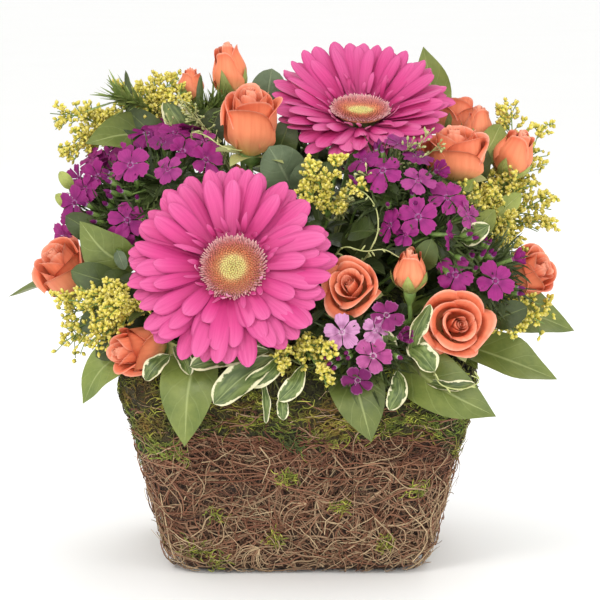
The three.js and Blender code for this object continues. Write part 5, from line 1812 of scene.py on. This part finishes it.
def vine_band():
    """Long strands that run round the basket just below the moss."""
    patch = Patch()
    dice = dice_for("band")
    strands = 30
    share = np.linspace(0, 1, 84)
    z = dice.normal(64, 8, (strands, 1))
    for waves in (2.0, 5.0, 9.0, 14.0):
        size = dice.normal(0, 6.0 / waves**0.6, (strands, 1))
        z = z + size * np.sin(2 * np.pi * waves * share + any_angle(dice, strands, 1))
    swing = np.sin(2 * np.pi * 7 * share + any_angle(dice, strands, 1))
    lift = 2.2 + dice.normal(0, 0.6, (strands, 1)) + 1.2 * swing
    way = dice.uniform(0, 1, (strands, 1)) + share * dice.uniform(0.3, 0.8, (strands, 1))
    add_vines(patch, dice, on_wall(way, np.clip(z, 30, 82), lift), (0.25, 0.46), depth=0.92, warm=-0.03)
    return patch


def vine_wisps():
    """Pale threads over the strands, and loose ends that stand away from the wall."""
    patch = Patch()
    dice = dice_for("wisps")
    threads = wandering(dice, 150, steps=13, step=2.8, low=3, high=90, curl=0.06, level=3.0)
    add_vines(patch, dice, threads, (0.12, 0.2), depth=1.0, warm=0.2)
    ends = 210
    share = np.linspace(0, 1, 8)
    angle = any_angle(dice, ends, 1) + dice.normal(0, 1.2, (ends, 1)) * share
    reach = dice.uniform(5, 16, (ends, 1)) * share
    z = np.clip(dice.uniform(3, 88, (ends, 1)) + reach * np.sin(angle), 1.5, 94)
    lift = 1.5 + dice.uniform(1.5, 5.5, (ends, 1)) * share**1.6
    way = dice.uniform(0, 1, (ends, 1)) + reach * np.cos(angle) / PERIMETER
    add_vines(patch, dice, on_wall(way, z, lift), (0.14, 0.3), depth=0.9, warm=0.05)
    return patch


def vine_underside():
    """Vines that curl about under the basket, painted darker than the outer vines as shade."""
    patch = Patch()
    dice = dice_for("underside")
    strands = 150
    index = np.arange(11)
    turning = 0.16 * np.sin(0.35 * index + any_angle(dice, strands, 1)) + dice.normal(0, 0.06, (strands, 1))
    direction = any_angle(dice, strands, 1) + np.cumsum(turning, 1)
    flat = 4.2 * np.cumsum(np.stack([np.cos(direction), np.sin(direction)], -1), 1)
    flat = 55 * np.sin((flat + dice.uniform(-46, 46, (strands, 1, 2))) / 55)
    level = 0.9 + np.abs(dice.normal(0, 0.5, (strands, 1))) + 0.5 * np.sin(0.3 * index)
    add_vines(patch, dice, with_height(flat, np.maximum(level, 0.8)), (0.3, 0.6), depth=0.6)
    return patch


piece("vine_mat_shell", vine_mat(), [VINE_MAT], "vine", "vine_basket")
for make in (vine_tangle, vine_strands, vine_band, vine_wisps, vine_underside):
    piece(make.__name__, make(), [VINE], "vine", "vine_basket")


# ---------------------------------------------------------------- moss


def moss_surface(way, share):
    """Points and outward directions on the moss collar, from its lower outer edge, share 0, over the rim to
    the foam, share 1. It hangs lower in places, most of all near the corners."""
    ripple = 3.0 * np.sin(way * 43.0) + 2.0 * np.sin(way * 97.0 + 1.0)
    from_corner = np.abs(np.mod(way + 0.03 + 0.125, 0.25) - 0.125)
    sag = 7.0 * np.exp(-((from_corner / 0.026) ** 2)) - ripple
    shares = [0.0, 0.4, 0.62, 0.78, 0.9, 1.0]
    rise = np.interp(share, shares, [0.0, 19.0, 32.0, 38.5, 38.5, 34.5])
    z = 70.0 + rise - sag * (1 - np.clip(share * 2, 0, 1))
    points, outward = square_ring(way)
    lumps = np.sin(way * 151.0 + 9.0 * share) * np.sin(share * 17.0 + way * 67.0)
    puffed = np.interp(share, shares, [1.6, 1.8, -1.0, -9.0, -18.0, -24.0])
    half = wall_half(np.minimum(z, 96.0)) + puffed + lumps
    return with_height(points * half[..., None], z), outward


def moss_lines(way, share, lift):
    """Lines over the moss, lifted off it. Below its edge, at a share under 0, they hang down."""
    points, outward = moss_surface(way, np.clip(share, 0, 1))
    points[..., 2] += np.minimum(share, 0) * 62.0
    rim = np.clip((share - 0.4) / 0.3, 0, 1)[..., None]
    normal = np.concatenate([outward * (1 - rim), 0.25 + 0.75 * rim], -1)
    return points + unit(normal) * lift[..., None]


def moss_mat():
    """The rough sheet under the strands."""
    patch = Patch()
    dice = dice_for("moss mat")
    way, share = np.meshgrid(np.linspace(0, 1, 220, endpoint=False), np.linspace(0, 1, 20))
    grid = moss_surface(way, share)[0]
    grid = grid + dice.normal(0, 0.6, grid.shape) - 0.8 * UP
    patch.add(grid, (dice.uniform(0.1, 0.55, way.shape), 0.45, 0.5, 0.0), closed=True)
    return patch


def moss_clumps():
    """Short curling strands in small cushions, each cushion with a height and a colour of its own."""
    patch = Patch()
    dice = dice_for("moss clumps")
    clumps, per, steps = 640, 24, 4
    owner = np.repeat(np.arange(clumps), per)
    count = len(owner)
    way = dice.uniform(0, 1, clumps)[owner][:, None]
    share = dice.uniform(0, 1, clumps)[owner][:, None]
    puff = dice.uniform(0.5, 2.6, clumps)[owner][:, None]
    along = np.linspace(0, 1, steps)
    heading = any_angle(dice, count, 1) + dice.normal(0, 2.2, (count, 1)) * along
    stride = dice.uniform(2.5, 6.0, (count, 1)) / (steps - 1)
    across = dice.normal(0, 1.5, (count, 1)) + np.cumsum(np.cos(heading), 1) * stride
    climb = dice.normal(0, 1.5, (count, 1)) + np.cumsum(np.sin(heading), 1) * stride
    share = np.clip(share + climb / 68.0, -0.06, 1.02)
    lift = 0.2 + puff * np.sin(np.pi * (0.12 + 0.75 * along))
    lines = moss_lines(way + across / PERIMETER, share, lift)
    shade = np.clip(dice.normal(0.5, 0.22, clumps)[owner] + dice.normal(0, 0.14, count), 0, 1)
    add_ribbons(patch, dice, lines, dice.uniform(0.4, 0.85, count), shade)
    return patch


def moss_strands(seed, count, share_range, length, stand, shade):
    """Single curling strands. stand is how far they rise off the moss in their middle."""
    patch = Patch()
    dice = dice_for(seed)
    way = dice.uniform(0, 1, (count, 1))
    share = dice.uniform(*share_range, (count, 1))
    along = np.linspace(0, 1, 5)
    reach = dice.uniform(*length, (count, 1)) * along
    angle = any_angle(dice, count, 1) + dice.normal(0, 1.9, (count, 1)) * along
    share = np.clip(share + reach * np.sin(angle) / 66.0, -0.12, 1.02)
    rise = dice.uniform(*stand, (count, 1))
    arc = dice.uniform(0.55, 1.0, (count, 1))
    lift = 0.3 + rise * np.sin(along * np.pi * arc)
    lines = moss_lines(way + reach * np.cos(angle) / PERIMETER, share, lift)
    shade = np.clip(dice.normal(shade, 0.24, count), 0, 1)
    add_ribbons(patch, dice, lines, dice.uniform(0.35, 0.65, count), shade)
    return patch


def moss_tufts():
    """Small tufts caught among the vines and along the foot."""
    patch = Patch()
    dice = dice_for("tufts")
    seen = [(-63, 62), (-43, 31), (-6, 50), (-13, 19), (-58, 12), (-47, 8), (48, 16), (22, 36), (60, 44)]
    others = 26
    ways = [(x + 0.73 * 75) / PERIMETER for x, _ in seen] + list(dice.uniform(0.26, 1.0, others))
    heights = [z for _, z in seen] + list(dice.uniform(8, 70, others))
    along = np.linspace(0, 1, 4)
    for way, z in zip(ways, heights):
        count = int(dice.uniform(26, 54))
        size = dice.uniform(3.0, 7.5)
        start_way = way + dice.normal(0, size * 0.5, (count, 1)) / PERIMETER
        start_z = z + dice.normal(0, size * 0.35, (count, 1))
        angle = any_angle(dice, count, 1) + dice.normal(0, 1.2, (count, 1)) * along
        reach = dice.uniform(2.0, 5.5, (count, 1)) * along
        z_now = np.clip(start_z + reach * np.sin(angle), 1, 92)
        lift = 2.2 + dice.uniform(0.3, 2.0, (count, 1)) * np.sin(along * 3)
        lines = on_wall(start_way + reach * np.cos(angle) / PERIMETER, z_now, lift)
        add_ribbons(patch, dice, lines, 0.55, np.clip(dice.normal(0.66, 0.16, count), 0, 1))
    return patch


def foam_moss():
    """A thin layer of moss over the foam's shoulder and top, with loose strands on it."""
    patch = Patch()
    dice = dice_for("foam moss")
    points = square_ring(np.linspace(0, 1, 140, endpoint=False))[0]
    outline = [(59.6, 104), (59.0, 112), (54.0, 122.5), (49.0, 133.4)]
    outline += [(40.0, 134.0), (22.0, 134.2), (4.0, 134.2)]
    rings = []
    for half, z in outline:
        flat = points * half + dice.normal(0, 0.25, points.shape)
        rings.append(with_height(flat, z + dice.normal(0, 0.3, len(flat))))
    patch.add(np.stack(rings), [0.5] * 4, closed=True)

    count = 1900
    along = np.linspace(0, 1, 4)
    way = dice.uniform(0, 1, (count, 1))
    share = dice.uniform(0, 0.95, (count, 1))
    angle = any_angle(dice, count, 1) + dice.normal(0, 1.4, (count, 1)) * along
    reach = dice.uniform(5, 12, (count, 1)) * along
    share = np.clip(share + reach * np.sin(angle) / 50.0, 0, 1)
    points, _ = square_ring(way + reach * np.cos(angle) / 380.0)
    half = np.interp(share, [0.0, 0.5, 1.0], [FOAM_RIM_HALF + 2.0, FOAM_TOP_HALF + 1.8, 12.0])
    z = np.interp(share, [0.0, 0.5, 1.0], [107.0, FOAM_TOP + 1.0, FOAM_TOP + 1.6])
    z = z + dice.uniform(0.2, 2.0, (count, 1)) * np.sin(along * 3)
    facing = unit(with_height(points[:, 1], 1.0) + dice.normal(0, 0.3, (count, 3)))
    shade = np.clip(dice.normal(0.45, 0.2, count), 0, 1)
    lines = with_height(points * half[..., None], z)
    add_sheets(patch, lines, 0.9, facing, shade, taper(4, 1.0, 0.5), columns=2, look=1)
    return patch


fine = moss_strands("moss fine", 2600, share_range=(0.0, 1.0), length=(3, 7), stand=(0.5, 2.4), shade=0.4)
coarse = moss_strands("moss long", 600, share_range=(0.0, 0.5), length=(6, 10), stand=(0.8, 2.8), shade=0.62)
for label, made, looks in (
    ("moss_mat", moss_mat(), [MOSS_MAT]),
    ("moss_clumps", moss_clumps(), [MOSS]),
    ("moss_strands_fine", fine, [MOSS]),
    ("moss_strands_long", coarse, [MOSS]),
    ("moss_tufts", moss_tufts(), [MOSS]),
    ("moss_over_foam", foam_moss(), [MOSS_MAT, MOSS]),
):
    piece(label, made, looks, "moss", "moss_collar")


# ---------------------------------------------------------------- what stays as the CAD model has it

for node, look in (("floral_foam", foam_look()), ("basket_liner", liner_look())):
    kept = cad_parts[node]
    kept.data.materials.clear()
    kept.data.materials.append(look)


# ---------------------------------------------------------------- floor, lights and camera, in metres

FLOOR_HALF = 60.0
ground = Patch()
corners = [[[-1, -1, 0], [1, -1, 0]], [[-1, 1, 0], [1, 1, 0]]]
ground.add(np.multiply(corners, FLOOR_HALF / MM), [0.5] * 4)
floor = bpy.data.objects.new("floor", ground.mesh("floor", [floor_look()]))
bpy.context.scene.collection.objects.link(floor)


def stand(name, data, place, target):
    """An object at a place that looks at the target."""
    made = bpy.data.objects.new(name, data)
    made.location = place
    made.rotation_euler = (Vector(target) - Vector(place)).to_track_quat("-Z", "Y").to_euler()
    bpy.context.scene.collection.objects.link(made)
    return made


MIDDLE = (0.0, 0.0, 0.13)
# Each light's name, place, size, power and tint.
for name, place, size, power, tint in (
    ("key", (-0.75, -1.05, 1.15), 0.55, 8.0, (1.0, 0.985, 0.96)),
    ("front", (0.1, -1.5, 0.5), 0.7, 5.0, (1.0, 0.99, 0.97)),
    ("fill", (1.1, -0.9, 0.6), 0.9, 3.0, (0.97, 0.985, 1.0)),
    ("back", (0.3, 1.1, 1.1), 0.8, 5.0, (1.0, 1.0, 1.0)),
):
    data = bpy.data.lights.new(name, "AREA")
    data.shape = "DISK"
    data.size = size
    data.energy = power
    data.color = tint
    stand(name, data, place, MIDDLE)

world = bpy.data.worlds.new("studio")
world.use_nodes = True
world.node_tree.nodes["Background"].inputs["Color"].default_value = (1.0, 1.0, 1.0, 1.0)
world.node_tree.nodes["Background"].inputs["Strength"].default_value = 1.02
bpy.context.scene.world = world
bpy.context.scene.view_settings.view_transform = "Standard"

ELEVATION = math.radians(8)
DISTANCE = 1.3
TARGET = Vector((0.00075, 0.0, 0.125))
lens = bpy.data.cameras.new("camera")
lens.lens = 156.0
lens.sensor_width = 36.0
place = TARGET + DISTANCE * Vector((0.0, -math.cos(ELEVATION), math.sin(ELEVATION)))
bpy.context.scene.camera = stand("camera", lens, place, TARGET)
